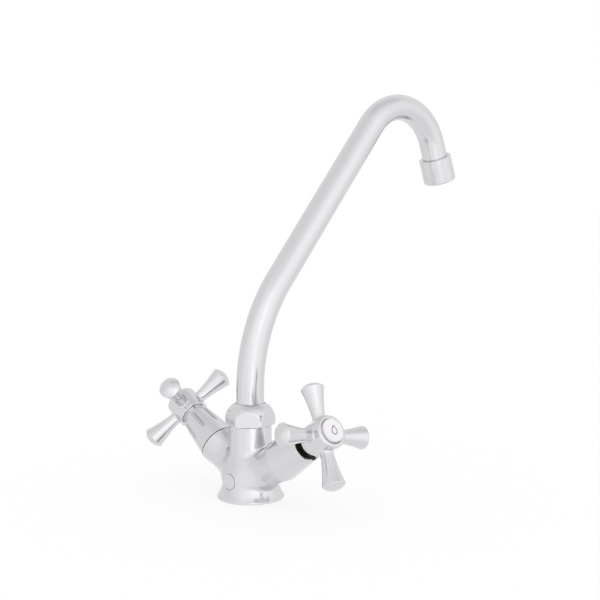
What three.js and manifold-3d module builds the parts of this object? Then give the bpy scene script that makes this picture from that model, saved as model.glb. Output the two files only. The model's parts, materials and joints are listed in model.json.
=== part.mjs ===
// Deck-mounted kitchen faucet with two cross handles and a high swivel spout.
// Millimetres, +Z up. The origin is the middle of the foot's underside. At rest the spout
// reaches towards -Y, the hot valve is on the -X side and the cold valve on the +X side.
// Each valve is a rising-stem one: turning its handle lifts the handle, spindle and jumper.
// The cold valve stands closed and the hot valve stands partly open.

import * as THREE from 'three';
import { mergeVertices } from 'three/addons/utils/BufferGeometryUtils.js';
import Module from 'manifold-3d';

const wasm = await Module();
wasm.setup();

// ---------------------------------------------------------------- driving dimensions

const gap = 0.3; // running and seating clearance between neighbouring pieces
const past = 1.0; // how far a cutting shape runs beyond the face that it opens

const body = {
  footRadius: 23.0,
  footRim: 1.6, // height of the widest band of the foot
  footChamfer: 0.8,
  waistRadius: 19.2,
  waistHeight: 12.5,
  shoulderHeight: 36.0, // where the taper ends and the round collar starts
  collarRadius: 14.6,
  collarTop: 50.7,
  collarChamfer: 0.4,
  threadRadius: 12.0, // outside of the thread that carries the spout nut
  threadLength: 7.9,
  socketRadius: 10.0, // bore that takes the foot of the spout
  socketDepth: 14.4,
  chamberRadius: 8.0, // where hot and cold water meet
  chamberFloor: 30.0,
  mixingHeight: 6.0, // above the chamber's floor, where the passages come in
};

const valve = {
  tilt: 30, // degrees above the deck
  height: 12.6, // where the valve axis meets the body's axis
  armRadius: 12.4,
  mouthRadius: 14.4,
  armLength: 37.8,
  flareLength: 17.0, // stretch over which the arm widens to its mouth
  flareCurve: 1.6,
  boreRadius: 8.5,
  seatDistance: 16.0, // from the body's axis to the seat, along the valve axis
  orificeRadius: 4.5,
  passageRadius: 3.0, // from the valve chamber up to the mixing chamber
  passageDistance: 6.0, // beyond the seat, where the passage leaves the valve chamber
  turns: 1.5, // handle turns from closed to open
  lead: 3.0, // lift for each turn
};

const turnsOpened = { hot: 0.8, cold: 0 }; // as the valves stand at rest

const inlet = { radius: 4.5, spacing: 19.0 };

const stud = { radius: 3.4, depth: 14.0, offset: 12.5 };

const footSeal = { innerRadius: 18.3, width: 1.8, height: 1.6 };

const plug = {
  height: 13.0,
  radius: 5.7,
  thickness: 1.1,
  edge: 0.4,
  faceDistance: 18.3, // from the body's axis to the plug's face
  shankRadius: 3.6,
  shankLength: 7.0,
};

// The plug's O-ring groove, measured down from the underside of its disc.
const plugGroove = { depth: 1.4, start: 2.5 };

const nut = {
  acrossFlats: 30.0,
  lip: 2.2,
  domeHeight: 12.0,
  domeInset: 4.3, // from the bore's edge in to the centre of the dome's arc
  edge: 0.5,
  chamfer: 0.9,
  turned: 44, // degrees from +X to a corner
};

const bearing = { thickness: 2.0 };

const tube = {
  radius: 9.5,
  wall: 1.0,
  bendStart: 74.6, // height where the upright stretch ends
  lowerBendRadius: 113.8,
  lowerBendAngle: 40.25,
  slopeLength: 141.6,
  crookRadius: 39.8,
  crookAngle: 119.85,
  tipLength: 30.7, // straight stretch down to the outlet, aerator included
};

const ferrule = {
  flange: 1.9,
  flangeInset: 1.0,
  boreRadius: 6.2,
  spigotLength: 6.0,
  grooveDepth: 1.8,
  ringInset: 3.4, // from each end of the barrel to the middle of its O-ring
};

const aerator = {
  radius: 12.4,
  length: 19.4,
  wall: 1.2,
  edge: 1.6, // radius of the rounded lower edge
  rimChamfer: 0.3,
  lip: 1.0,
  lipRadius: 9.0,
  cartridgeRadius: 9.9,
  cartridgeHeight: 5.9,
  cartridgeWall: 1.2,
  flange: 1.0,
  washer: 1.3,
  washerInner: 7.4,
  tipLip: 1.3,
  tipLipRadius: 7.8,
  tipHeight: 6.4,
  ribWidth: 0.9,
  ribHeight: 3.0,
  screen: 0.6,
};

const headwork = {
  seal: 1.2,
  sealWidth: 2.4,
  acrossFlats: 20.0,
  flange: 4.2,
  neckRadius: 7.0,
  neckLength: 17.7,
  chamfer: 0.5,
};

const spindle = {
  threadRadius: 5.2,
  threadLength: 11.5,
  neckRadius: 4.0,
  square: 7.0,
  glandDepth: 1.7,
  glandPlace: 11.0, // from the top of the headwork down to the middle of the rings
  glandPitch: 4.0,
};

const jumper = {
  plateRadius: 6.9,
  plate: 2.2,
  stemRadius: 2.3,
  stemLength: 9.0,
  pinRadius: 1.5,
  washerRadius: 6.2,
  washer: 2.6,
};

const sleeve = {
  endRadius: 10.8,
  wall: 1.3,
  length: 27.4,
  edge: 0.5,
  inset: 0.1, // how far its foot stands inside the mouth's outline
  slots: 4, // in the outer rim, for the guide ring's lugs
  slotWidth: 2.4,
  slotDepth: 2.0,
  slotsTurned: 12, // degrees from the front
};

const guide = { skirt: 4.5, recess: 0.7 };

const hub = {
  standOff: 1.3, // from the sleeve's end to the hub, with the valve closed
  armPlane: 12.8, // from the back end of the hub to the plane of the arms
  skirtRadius: 8.4,
  skirtLength: 4.0,
  barrelRadius: 11.2,
  front: 9.7, // from the plane of the arms to the front rim
  edge: 1.2, // radius of the front rim's rounding
  skirtChamfer: 0.3,
  backChamfer: 1.2,
  rearCavityRadius: 6.9,
  rearCavityDepth: 6.8,
  web: 1.7,
  recessDepth: 3.9,
  rim: 2.65,
};

const arm = {
  reach: 33.0, // from the handle's axis to where the tip's dome starts
  rootRadius: 4.1,
  tipRadius: 7.85,
  trumpet: 1.6, // power of the flare: slow near the hub, quick near the tip
  dome: 3.4,
  start: 6.5, // from the handle's axis, buried in the hub
  flareInset: 1.7, // how far inside the hub's barrel the flare starts
  count: 4,
};

const handleTurned = { hot: -10.7, cold: 41.75 }; // degrees, as the handles stand at rest

const screw = {
  headRadius: 4.2,
  head: 2.1,
  shankRadius: 2.3,
  length: 11.0,
  slotWidth: 1.0,
  slotDepth: 0.9,
};

const button = { crown: 0.5, bevel: 0.7, bevelDrop: 0.45 };

// Sides of the round pieces: those that show, the spout tube, the small ones inside,
// drilled holes and handle arms, and round the section of an O-ring.
const roundSides = 24;
const tubeSides = 16;
const smallSides = 14;
const drillSides = 12;
const ringSides = 5;

// ---------------------------------------------------------------- materials

function finish(color, metalness, roughness) {
  return new THREE.MeshStandardMaterial({ color, metalness, roughness });
}

const chrome = finish(0xd9dadd, 1.0, 0.08);
const brass = finish(0xc9a45c, 1.0, 0.35);
const rubber = finish(0x1d1d1f, 0.0, 0.8);
const nylon = finish(0xe9e7df, 0.0, 0.5);
const blackNylon = finish(0x141416, 0.0, 0.45);
const fibre = finish(0x8c3b2e, 0.0, 0.9);
const whiteEnamel = finish(0xeceae6, 0.0, 0.3);
const steel = finish(0xb9bcc0, 1.0, 0.3);

// ---------------------------------------------------------------- shape helpers

const radians = THREE.MathUtils.degToRad;

// Welds a geometry's seams and drops the triangles that shrink to nothing at a pole.
function welded(geometry) {
  const bare = geometry.clone();
  bare.deleteAttribute('normal');
  bare.deleteAttribute('uv');
  const merged = mergeVertices(bare, 1e-4);
  const corners = merged.index.array;
  const kept = [];
  for (let i = 0; i < corners.length; i += 3) {
    const [a, b, c] = [corners[i], corners[i + 1], corners[i + 2]];
    if (a !== b && b !== c && c !== a) kept.push(a, b, c);
  }
  merged.setIndex(kept);
  return merged;
}

function toSolid(geometry) {
  const closed = welded(geometry);
  return new wasm.Manifold(new wasm.Mesh({
    numProp: 3,
    vertProperties: new Float32Array(closed.attributes.position.array),
    triVerts: new Uint32Array(closed.index.array),
  }));
}

function toGeometry(solid) {
  const mesh = solid.getMesh();
  const geometry = new THREE.BufferGeometry();
  geometry.setAttribute('position', new THREE.BufferAttribute(mesh.vertProperties, 3));
  geometry.setIndex(new THREE.BufferAttribute(mesh.triVerts, 1));
  return geometry;
}

// Cuts every tool out of a geometry, after joining the extra shapes to it.
function shaped(base, { join = [], cut = [] }) {
  let solid = toSolid(base);
  for (const extra of join) solid = solid.add(toSolid(extra));
  for (const tool of cut) solid = solid.subtract(toSolid(tool));
  return toGeometry(solid);
}

// Turns an outline of [radius, height] points round the Z axis. The outline runs
// anticlockwise as seen with the axis on its left, so that the faces point outwards.
function revolve(outline, sides = roundSides) {
  const points = outline.map(([radius, height]) => new THREE.Vector2(radius, height));
  return new THREE.LatheGeometry(points, sides).rotateX(Math.PI / 2);
}

// A rod from one height to another.
function rod(radius, bottom, top, sides = smallSides) {
  return revolve([[0, bottom], [radius, bottom], [radius, top], [0, top]], sides);
}

// A tube or washer: a rectangle turned round the Z axis.
function washer(inner, outer, bottom, top, sides = smallSides) {
  return revolve([[inner, bottom], [outer, bottom], [outer, top], [inner, top], [inner, bottom]], sides);
}

// An O-ring that lies between two radii, with its middle at a height.
function oRing(inner, outer, height) {
  const section = (outer - inner) / 2;
  return new THREE.TorusGeometry(inner + section, section, ringSides, smallSides).translate(0, 0, height);
}

// A hexagon prism by its width across the flats.
function hexagon(acrossFlats, bottom, top) {
  const corner = acrossFlats / 2 / Math.cos(Math.PI / 6);
  return rod(corner, bottom, top, 6);
}

function box(width, depth, bottom, top) {
  return new THREE.BoxGeometry(width, depth, top - bottom).translate(0, 0, (bottom + top) / 2);
}

// Points of a quarter ellipse from its side to its top.
function quarterRound(centreRadius, centreHeight, across, up, steps = 4) {
  return Array.from({ length: steps + 1 }, (_, i) => {
    const angle = (i / steps) * Math.PI / 2;
    return [centreRadius + across * Math.cos(angle), centreHeight + up * Math.sin(angle)];
  });
}

// A straight rod between two points.
function rodBetween(from, to, radius, sides = drillSides) {
  const along = to.clone().sub(from);
  const upright = new THREE.Vector3(0, 0, 1);
  const turn = new THREE.Quaternion().setFromUnitVectors(upright, along.clone().normalize());
  return rod(radius, 0, along.length(), sides).applyQuaternion(turn).translate(from.x, from.y, from.z);
}

function mesh(name, geometry, material) {
  const piece = new THREE.Mesh(welded(geometry), material);
  piece.name = name;
  return piece;
}

// ---------------------------------------------------------------- the valve axes

// A valve's own frame has +Z out along its axis, +X towards the front and its origin
// where the two valve axes meet.
function valveFrame(side) {
  const tilt = radians(valve.tilt);
  const out = new THREE.Vector3(side * Math.cos(tilt), 0, Math.sin(tilt));
  const front = new THREE.Vector3(0, -1, 0);
  const across = out.clone().cross(front);
  return new THREE.Matrix4().makeBasis(front, across, out).setPosition(0, 0, valve.height);
}

const sides = { hot: -1, cold: 1 };

// ---------------------------------------------------------------- heights up the body

const threadTop = body.collarTop + body.threadLength;
const flangeBottom = threadTop + gap;
const flangeTop = flangeBottom + ferrule.flange;
const tubeBottom = flangeTop + gap;
const bearingBottom = flangeTop + gap;
const bearingTop = bearingBottom + bearing.thickness;
const lipBottom = bearingTop + gap;
const nutTop = lipBottom + nut.lip;
const nutBottom = body.collarTop + gap;
const socketFloor = threadTop - body.socketDepth;
const flangeRadius = body.threadRadius - ferrule.flangeInset;

// ---------------------------------------------------------------- the cast body

// Smooth step from 0 to 1.
function ease(share) {
  const held = Math.min(Math.max(share, 0), 1);
  return held * held * (3 - 2 * held);
}

function columnOutline() {
  const { footRadius, footRim, footChamfer, waistRadius, waistHeight, shoulderHeight } = body;
  const { collarRadius, collarTop, collarChamfer, threadRadius } = body;
  const outline = [[0, 0], [footRadius - footChamfer, 0], [footRadius, footChamfer], [footRadius, footRim]];
  const flareSteps = 5;
  for (let i = 1; i <= flareSteps; i += 1) { // hollow flare: steep at the rim, upright at the waist
    const share = i / flareSteps;
    const radius = waistRadius + (footRadius - waistRadius) * (1 - share) ** 2;
    outline.push([radius, footRim + (waistHeight - footRim) * share]);
  }
  const taperSteps = 6;
  for (let i = 1; i <= taperSteps; i += 1) {
    const share = i / taperSteps;
    const radius = waistRadius + (collarRadius - waistRadius) * ease(share);
    outline.push([radius, waistHeight + (shoulderHeight - waistHeight) * share]);
  }
  outline.push([collarRadius, collarTop - collarChamfer], [collarRadius - collarChamfer, collarTop]);
  outline.push([threadRadius, collarTop], [threadRadius, threadTop], [0, threadTop]);
  return outline;
}

function armOutline() {
  const { armRadius, mouthRadius, armLength, flareLength, flareCurve } = valve;
  const flareStart = armLength - flareLength;
  const outline = [[0, 0], [armRadius, 0], [armRadius, flareStart]];
  const steps = 5;
  for (let i = 1; i <= steps; i += 1) {
    const share = i / steps;
    const radius = armRadius + (mouthRadius - armRadius) * share ** flareCurve;
    outline.push([radius, flareStart + flareLength * share]);
  }
  outline.push([0, armLength]);
  return outline;
}

function bodyGeometry() {
  const arms = [];
  const cuts = [
    rod(body.socketRadius, socketFloor, threadTop + past, roundSides),
    rod(body.chamberRadius, body.chamberFloor, socketFloor + past, smallSides),
    rod(stud.radius, -past, stud.depth, drillSides).translate(0, -stud.offset, 0),
    washer(
      footSeal.innerRadius - gap, footSeal.innerRadius + footSeal.width + gap,
      -past, footSeal.height + 2 * gap, roundSides,
    ),
    rod(plug.radius + gap, 0, body.waistRadius, smallSides)
      .rotateX(-Math.PI / 2).translate(0, plug.faceDistance - plug.thickness - gap, plug.height),
    rod(plug.shankRadius + gap, 0, plug.shankLength + 2 * gap, smallSides)
      .rotateX(Math.PI / 2).translate(0, plug.faceDistance - plug.thickness, plug.height),
  ];
  const inletX = inlet.spacing / 2;
  const tilt = radians(valve.tilt);
  const inletTop = valve.height + inletX * Math.tan(tilt) + past; // just past the valve axis
  const orificeEnd = inletX / Math.cos(tilt) - past;
  const { seatDistance, boreRadius, orificeRadius, passageDistance, passageRadius, armLength } = valve;
  const mixingPoint = new THREE.Vector3(0, 0, body.chamberFloor + body.mixingHeight);
  for (const side of Object.values(sides)) {
    const frame = valveFrame(side);
    const passageStart = new THREE.Vector3(0, 0, seatDistance + passageDistance).applyMatrix4(frame);
    arms.push(revolve(armOutline(), roundSides).applyMatrix4(frame));
    cuts.push(
      rod(boreRadius, seatDistance, armLength + past, smallSides).applyMatrix4(frame),
      rod(orificeRadius, orificeEnd, seatDistance + past, drillSides).applyMatrix4(frame),
      rod(inlet.radius, -past, inletTop, drillSides).translate(side * inletX, 0, 0),
      rodBetween(passageStart, mixingPoint, passageRadius),
    );
  }
  return shaped(revolve(columnOutline(), roundSides), { join: arms, cut: cuts });
}

// ---------------------------------------------------------------- foot seal and rear plug

function footSealGeometry() {
  const { innerRadius, width, height } = footSeal;
  return washer(innerRadius, innerRadius + width, gap, gap + height, roundSides);
}

// The plug is made with its axis along Z, face up, then turned to look out at the back.
function plugGeometry() {
  const grooveTop = -plugGroove.start;
  const grooveBottom = grooveTop - plugGroove.depth - gap;
  const grooveFloor = plug.shankRadius - plugGroove.depth;
  const outline = [
    [0, -plug.shankLength], [plug.shankRadius, -plug.shankLength],
    [plug.shankRadius, grooveBottom], [grooveFloor, grooveBottom],
    [grooveFloor, grooveTop], [plug.shankRadius, grooveTop],
    [plug.shankRadius, 0], [plug.radius, 0], [plug.radius, plug.thickness - plug.edge],
    [plug.radius - plug.edge, plug.thickness], [0, plug.thickness],
  ];
  return toTheBack(revolve(outline, smallSides));
}

function plugRingGeometry() {
  const middle = -plugGroove.start - (plugGroove.depth + gap) / 2;
  return toTheBack(oRing(plug.shankRadius - plugGroove.depth + gap, plug.shankRadius, middle));
}

function toTheBack(geometry) {
  return geometry.rotateX(-Math.PI / 2).translate(0, plug.faceDistance - plug.thickness, plug.height);
}

// ---------------------------------------------------------------- spout nut and bearing

// A hexagon whose top is domed: the turned dome cuts each flat to an arch.
function nutGeometry() {
  const corner = nut.acrossFlats / 2 / Math.cos(Math.PI / 6);
  const boreRadius = tube.radius + gap;
  const topRadius = boreRadius + nut.edge;
  const middle = topRadius - nut.domeInset;
  const across = corner - middle;
  const up = nut.domeHeight / Math.sqrt(1 - (nut.domeInset / across) ** 2);
  const domeFoot = nutTop - nut.domeHeight;
  const dome = [[0, nutBottom], [corner - nut.chamfer, nutBottom], [corner, nutBottom + nut.chamfer]];
  const steps = 6;
  for (let i = 0; i <= steps; i += 1) {
    const radius = corner - (corner - topRadius) * (i / steps) ** 2;
    dome.push([radius, domeFoot + up * Math.sqrt(Math.max(0, 1 - ((radius - middle) / across) ** 2))]);
  }
  dome.push([0, nutTop]);
  const prism = hexagon(nut.acrossFlats, nutBottom - past, nutTop + past);
  const solid = toSolid(revolve(dome)).intersect(toSolid(prism));
  const threadEnd = (flangeBottom + flangeTop) / 2;
  const cuts = [
    rod(body.threadRadius + gap, nutBottom - past, threadEnd, roundSides),
    rod(flangeRadius + gap, nutBottom - past, lipBottom, roundSides),
    rod(boreRadius, nutBottom - past, nutTop + past, roundSides),
  ];
  return shaped(toGeometry(solid), { cut: cuts }).rotateZ(radians(nut.turned - 30));
}

function bearingGeometry() {
  return washer(tube.radius + gap, flangeRadius, bearingBottom, bearingTop, roundSides);
}

// ---------------------------------------------------------------- spout

// The middle line of the tube in the upright plane of the spout, as stations with a
// position [reach, height] and the angle that the tube leans forward there.
function spoutStations() {
  const stations = [tubeBottom, tube.bendStart].map((height) => ({ reach: 0, height, lean: 0 }));
  const walk = (length) => {
    const last = stations.at(-1);
    stations.push({
      reach: last.reach + length * Math.sin(last.lean),
      height: last.height + length * Math.cos(last.lean),
      lean: last.lean,
    });
  };
  const bend = (radius, degrees, steps) => {
    const start = stations.at(-1);
    for (let i = 1; i <= steps; i += 1) {
      const lean = start.lean + radians(degrees) * (i / steps);
      stations.push({
        reach: start.reach + radius * (Math.cos(start.lean) - Math.cos(lean)),
        height: start.height + radius * (Math.sin(lean) - Math.sin(start.lean)),
        lean,
      });
    }
  };
  bend(tube.lowerBendRadius, tube.lowerBendAngle, 6);
  walk(tube.slopeLength);
  bend(tube.crookRadius, tube.crookAngle, 14);
  walk(tube.tipLength - tubeEnd);
  return stations;
}

// How far the end of the tube lies inside the outlet, and the pieces stacked below it.
const cartridgeBottom = aerator.lip + gap;
const ledge = cartridgeBottom + aerator.cartridgeHeight;
const cartridgeTop = ledge + gap + aerator.flange;
const sealTop = cartridgeTop + gap + aerator.washer;
const tipBottom = sealTop + gap;
const tubeEnd = tipBottom + aerator.tipLip + gap;

const stations = spoutStations();

// A round tube swept along the stations: an outer and an inner skin closed by end rings.
function sweptTube(outer, inner, sideCount) {
  const positions = [];
  const corners = [];
  const ring = (station, radius) => {
    for (let i = 0; i < sideCount; i += 1) {
      const angle = (i / sideCount) * 2 * Math.PI;
      const sideways = radius * Math.cos(angle);
      const forward = radius * Math.sin(angle);
      positions.push(
        sideways,
        -(station.reach + forward * Math.cos(station.lean)),
        station.height - forward * Math.sin(station.lean),
      );
    }
  };
  const loops = [...stations.map((s) => [s, outer]), ...stations.toReversed().map((s) => [s, inner])];
  loops.forEach(([station, radius]) => ring(station, radius));
  loops.forEach((_, row) => {
    const here = row * sideCount;
    const next = ((row + 1) % loops.length) * sideCount;
    for (let i = 0; i < sideCount; i += 1) {
      const j = (i + 1) % sideCount;
      corners.push(here + i, next + j, here + j, here + i, next + i, next + j);
    }
  });
  const geometry = new THREE.BufferGeometry();
  geometry.setAttribute('position', new THREE.Float32BufferAttribute(positions, 3));
  geometry.setIndex(corners);
  return geometry;
}

// The outlet's frame: +Z points back up the tube from the middle of the outlet face.
function outletFrame() {
  const last = stations.at(-1);
  const back = new THREE.Vector3(0, Math.sin(last.lean), -Math.cos(last.lean));
  const right = new THREE.Vector3(1, 0, 0);
  const forward = back.clone().cross(right);
  const end = new THREE.Vector3(0, -last.reach, last.height).addScaledVector(back, -tubeEnd);
  return new THREE.Matrix4().makeBasis(right, forward, back).setPosition(end);
}

function ferruleGeometry() {
  const barrel = body.socketRadius - gap;
  const spigot = tube.radius - tube.wall - gap;
  const bottom = socketFloor + gap;
  const outline = [[ferrule.boreRadius, bottom], [barrel, bottom]];
  for (const height of ringHeights) {
    const half = ringSection + gap;
    outline.push([barrel, height - half], [grooveFloor, height - half]);
    outline.push([grooveFloor, height + half], [barrel, height + half]);
  }
  const top = flangeTop + ferrule.spigotLength;
  outline.push([barrel, flangeBottom], [flangeRadius, flangeBottom], [flangeRadius, flangeTop]);
  outline.push([spigot, flangeTop], [spigot, top], [ferrule.boreRadius, top], [ferrule.boreRadius, bottom]);
  return revolve(outline, smallSides);
}

const grooveFloor = body.socketRadius - gap - ferrule.grooveDepth;
const ringSection = (ferrule.grooveDepth - gap) / 2;
const ringHeights = [socketFloor + gap + ferrule.ringInset, flangeBottom - ferrule.ringInset];

function spoutRingGeometry(height) {
  return oRing(grooveFloor + gap, grooveFloor + gap + 2 * ringSection, height);
}

// Threaded ring brazed round the end of the tube, with a lip that the tube stands on.
function tipGeometry() {
  const outer = aerator.radius - aerator.wall - gap;
  const inner = tube.radius + gap;
  const shelf = tipBottom + aerator.tipLip;
  const top = tipBottom + aerator.tipHeight;
  const outline = [
    [aerator.tipLipRadius, tipBottom], [outer, tipBottom], [outer, top], [inner, top],
    [inner, shelf], [aerator.tipLipRadius, shelf], [aerator.tipLipRadius, tipBottom],
  ];
  return revolve(outline);
}

function housingGeometry() {
  const { radius, length, edge, lip, lipRadius, rimChamfer } = aerator;
  const inner = radius - aerator.wall;
  const pocket = aerator.cartridgeRadius + gap;
  const rounded = quarterRound(radius - edge, edge, edge, -edge).toReversed();
  return revolve([
    [lipRadius, 0], ...rounded, [radius, length - rimChamfer], [radius - rimChamfer, length],
    [inner, length], [inner, ledge], [pocket, ledge], [pocket, lip], [lipRadius, lip], [lipRadius, 0],
  ]);
}

function aeratorSealGeometry() {
  return washer(aerator.washerInner, aerator.radius - aerator.wall - gap, cartridgeTop + gap, sealTop);
}

// A ring with a flange, crossed by ribs and one inner ring that straighten the flow.
function cartridgeGeometry() {
  const { cartridgeRadius, cartridgeWall, ribWidth, ribHeight } = aerator;
  const inner = cartridgeRadius - cartridgeWall;
  const flangeEdge = aerator.radius - aerator.wall - gap;
  const outline = [
    [inner, cartridgeBottom], [cartridgeRadius, cartridgeBottom], [cartridgeRadius, ledge + gap],
    [flangeEdge, ledge + gap], [flangeEdge, cartridgeTop], [inner, cartridgeTop], [inner, cartridgeBottom],
  ];
  const ribTop = cartridgeBottom + ribHeight;
  const reach = 2 * inner + cartridgeWall;
  const joins = [0, 60, 120].map((angle) => (
    box(reach, ribWidth, cartridgeBottom, ribTop).rotateZ(radians(angle))
  ));
  const middle = inner / 2;
  joins.push(washer(middle - ribWidth / 2, middle + ribWidth / 2, cartridgeBottom, ribTop));
  return shaped(revolve(outline, smallSides), { join: joins });
}

function screenGeometry() {
  const bottom = cartridgeBottom + aerator.ribHeight + gap;
  const radius = aerator.cartridgeRadius - aerator.cartridgeWall - gap;
  return rod(radius, bottom, bottom + aerator.screen, smallSides);
}

// ---------------------------------------------------------------- places along a valve axis

// Distances from the body's axis with the valve closed. Opening adds the lift to all that moves.
const lift = valve.turns * valve.lead;
const washerBottom = valve.seatDistance + gap;
const plateBottom = washerBottom + jumper.washer + gap;
const plateTop = plateBottom + jumper.plate;
const spindleBottom = plateTop + gap;
const shankBottom = plateTop + lift + gap; // the jumper stops here when open
const hexBottom = valve.armLength + gap + headwork.seal + gap;
const hexTop = hexBottom + headwork.flange;
const neckTop = hexTop + headwork.neckLength;
const sleeveBottom = valve.armLength + gap;
const sleeveTop = sleeveBottom + sleeve.length;
const hubBack = sleeveTop + hub.standOff;
const armPlane = hubBack + hub.armPlane;
const guideTop = sleeveTop - guide.recess;
const guideFloor = neckTop + gap;
const threadRoom = spindleBottom + spindle.threadLength + lift + gap; // the bore narrows here
const spindleTop = armPlane + hub.front - hub.recessDepth - screwPocket() - hub.web - gap;
const glandHeights = [0, 1].map((i) => neckTop - lift - spindle.glandPlace + i * spindle.glandPitch);
const glandFloor = spindle.neckRadius - spindle.glandDepth;
const glandSection = (spindle.glandDepth - gap) / 2;

function screwPocket() {
  return screw.head + 2 * gap;
}

// ---------------------------------------------------------------- fixed pieces of a valve

function headworkSealGeometry() {
  return washer(valve.boreRadius, valve.boreRadius + headwork.sealWidth, sleeveBottom, hexBottom - gap);
}

function headworkGeometry() {
  const shank = valve.boreRadius - gap;
  const threadBore = spindle.threadRadius + gap;
  const neckBore = spindle.neckRadius + gap;
  const outline = [
    [threadBore, shankBottom], [shank, shankBottom], [shank, hexBottom + headwork.flange / 2],
    [headwork.neckRadius, hexBottom + headwork.flange / 2],
    [headwork.neckRadius, neckTop - headwork.chamfer],
    [headwork.neckRadius - headwork.chamfer, neckTop], [neckBore, neckTop], [neckBore, threadRoom],
    [threadBore, threadRoom], [threadBore, shankBottom],
  ];
  const flange = shaped(hexagon(headwork.acrossFlats, hexBottom, hexTop), {
    cut: [rod(threadBore + gap, hexBottom - past, hexTop + past)],
  });
  return shaped(revolve(outline, smallSides), { join: [flange] });
}

// Blocks round the sleeve's rim: the slots to cut from it, or the lugs that fill them.
function aroundTheRim(width, inner, outer, top, room = 0) {
  const bottom = sleeveTop - sleeve.slotDepth + room;
  return Array.from({ length: sleeve.slots }, (_, i) => (
    box(outer - inner, width, bottom, top).translate((outer + inner) / 2, 0, 0)
      .rotateZ((i / sleeve.slots) * 2 * Math.PI + radians(sleeve.slotsTurned))
  ));
}

// A cone, flush with the body's mouth at its foot, with slots in its outer rim.
function sleeveGeometry() {
  const { endRadius, wall, edge } = sleeve;
  const footRadius = valve.mouthRadius - sleeve.inset;
  const outside = [[footRadius, sleeveBottom], [endRadius, sleeveTop - edge], [endRadius - edge, sleeveTop]];
  const inside = [[endRadius - wall, sleeveTop], [footRadius - wall, sleeveBottom]];
  const slots = aroundTheRim(sleeve.slotWidth, endRadius - wall - past, endRadius + past, sleeveTop + past);
  return shaped(revolve([...outside, ...inside, outside[0]]), { cut: slots });
}

// Black ring that centres the sleeve on the headwork and closes the sleeve's mouth.
function guideGeometry() {
  const outer = sleeve.endRadius - sleeve.wall - gap;
  const skirtInner = headwork.neckRadius + gap;
  const stemHole = spindle.neckRadius + gap;
  const outline = [
    [skirtInner, guideFloor - guide.skirt], [outer, guideFloor - guide.skirt], [outer, guideTop],
    [stemHole, guideTop], [stemHole, guideFloor], [skirtInner, guideFloor],
    [skirtInner, guideFloor - guide.skirt],
  ];
  const lugs = aroundTheRim(sleeve.slotWidth - 2 * gap, outer - past, sleeve.endRadius - gap, guideTop, gap);
  return shaped(revolve(outline), { join: lugs });
}

// ---------------------------------------------------------------- moving pieces of a valve

function jumperGeometry() {
  const { pinRadius, plateRadius, stemRadius, stemLength } = jumper;
  const pinEnd = plateBottom - jumper.washer;
  const stemEnd = plateTop + stemLength;
  return revolve([
    [0, pinEnd], [pinRadius, pinEnd], [pinRadius, plateBottom], [plateRadius, plateBottom],
    [plateRadius, plateTop], [stemRadius, plateTop], [stemRadius, stemEnd], [0, stemEnd],
  ], smallSides);
}

function jumperWasherGeometry() {
  return washer(jumper.pinRadius + gap, jumper.washerRadius, washerBottom, washerBottom + jumper.washer);
}

function spindleGeometry() {
  const { threadRadius, threadLength, neckRadius } = spindle;
  const shoulder = spindleBottom + threadLength;
  const half = glandSection + gap;
  const outline = [[0, spindleBottom], [threadRadius, spindleBottom], [threadRadius, shoulder]];
  outline.push([neckRadius, shoulder]);
  for (const height of glandHeights) {
    outline.push([neckRadius, height - half], [glandFloor, height - half]);
    outline.push([glandFloor, height + half], [neckRadius, height + half]);
  }
  outline.push([neckRadius, spindleTop], [0, spindleTop]);
  const flat = spindle.square / 2;
  const squareStart = hubBack + hub.rearCavityDepth;
  const width = 2 * neckRadius;
  const cuts = [0, 1, 2, 3].map((i) => (
    box(neckRadius, width, squareStart, spindleTop + past)
      .translate(flat + neckRadius / 2, 0, 0).rotateZ(i * Math.PI / 2)
  ));
  const stemHoleEnd = spindleBottom + jumper.stemLength + gap;
  cuts.push(rod(jumper.stemRadius + gap, spindleBottom - past, stemHoleEnd, drillSides));
  cuts.push(rod(screw.shankRadius + gap, spindleTop - screw.length, spindleTop + past, drillSides));
  return shaped(revolve(outline, smallSides), { cut: cuts });
}

function glandRingGeometry(height) {
  return oRing(glandFloor + gap, glandFloor + gap + 2 * glandSection, height);
}

// Places inside the hub, counted along the valve axis.
const hubFront = armPlane + hub.front;
const recessFloor = hubFront - hub.recessDepth;
const webTop = recessFloor - screwPocket();
const webBottom = webTop - hub.web;
const recessRadius = hub.barrelRadius - hub.rim;

function armOutlinePoints() {
  const { rootRadius, tipRadius, reach, dome, start, trumpet } = arm;
  const outline = [[0, start], [rootRadius, start]];
  const from = hub.barrelRadius - arm.flareInset;
  const steps = 5;
  for (let i = 0; i <= steps; i += 1) {
    const share = i / steps;
    outline.push([rootRadius + (tipRadius - rootRadius) * share ** trumpet, from + (reach - from) * share]);
  }
  outline.push(...quarterRound(0, reach, tipRadius, dome, 3).slice(1, -1), [0, reach + dome]);
  return outline;
}

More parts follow.
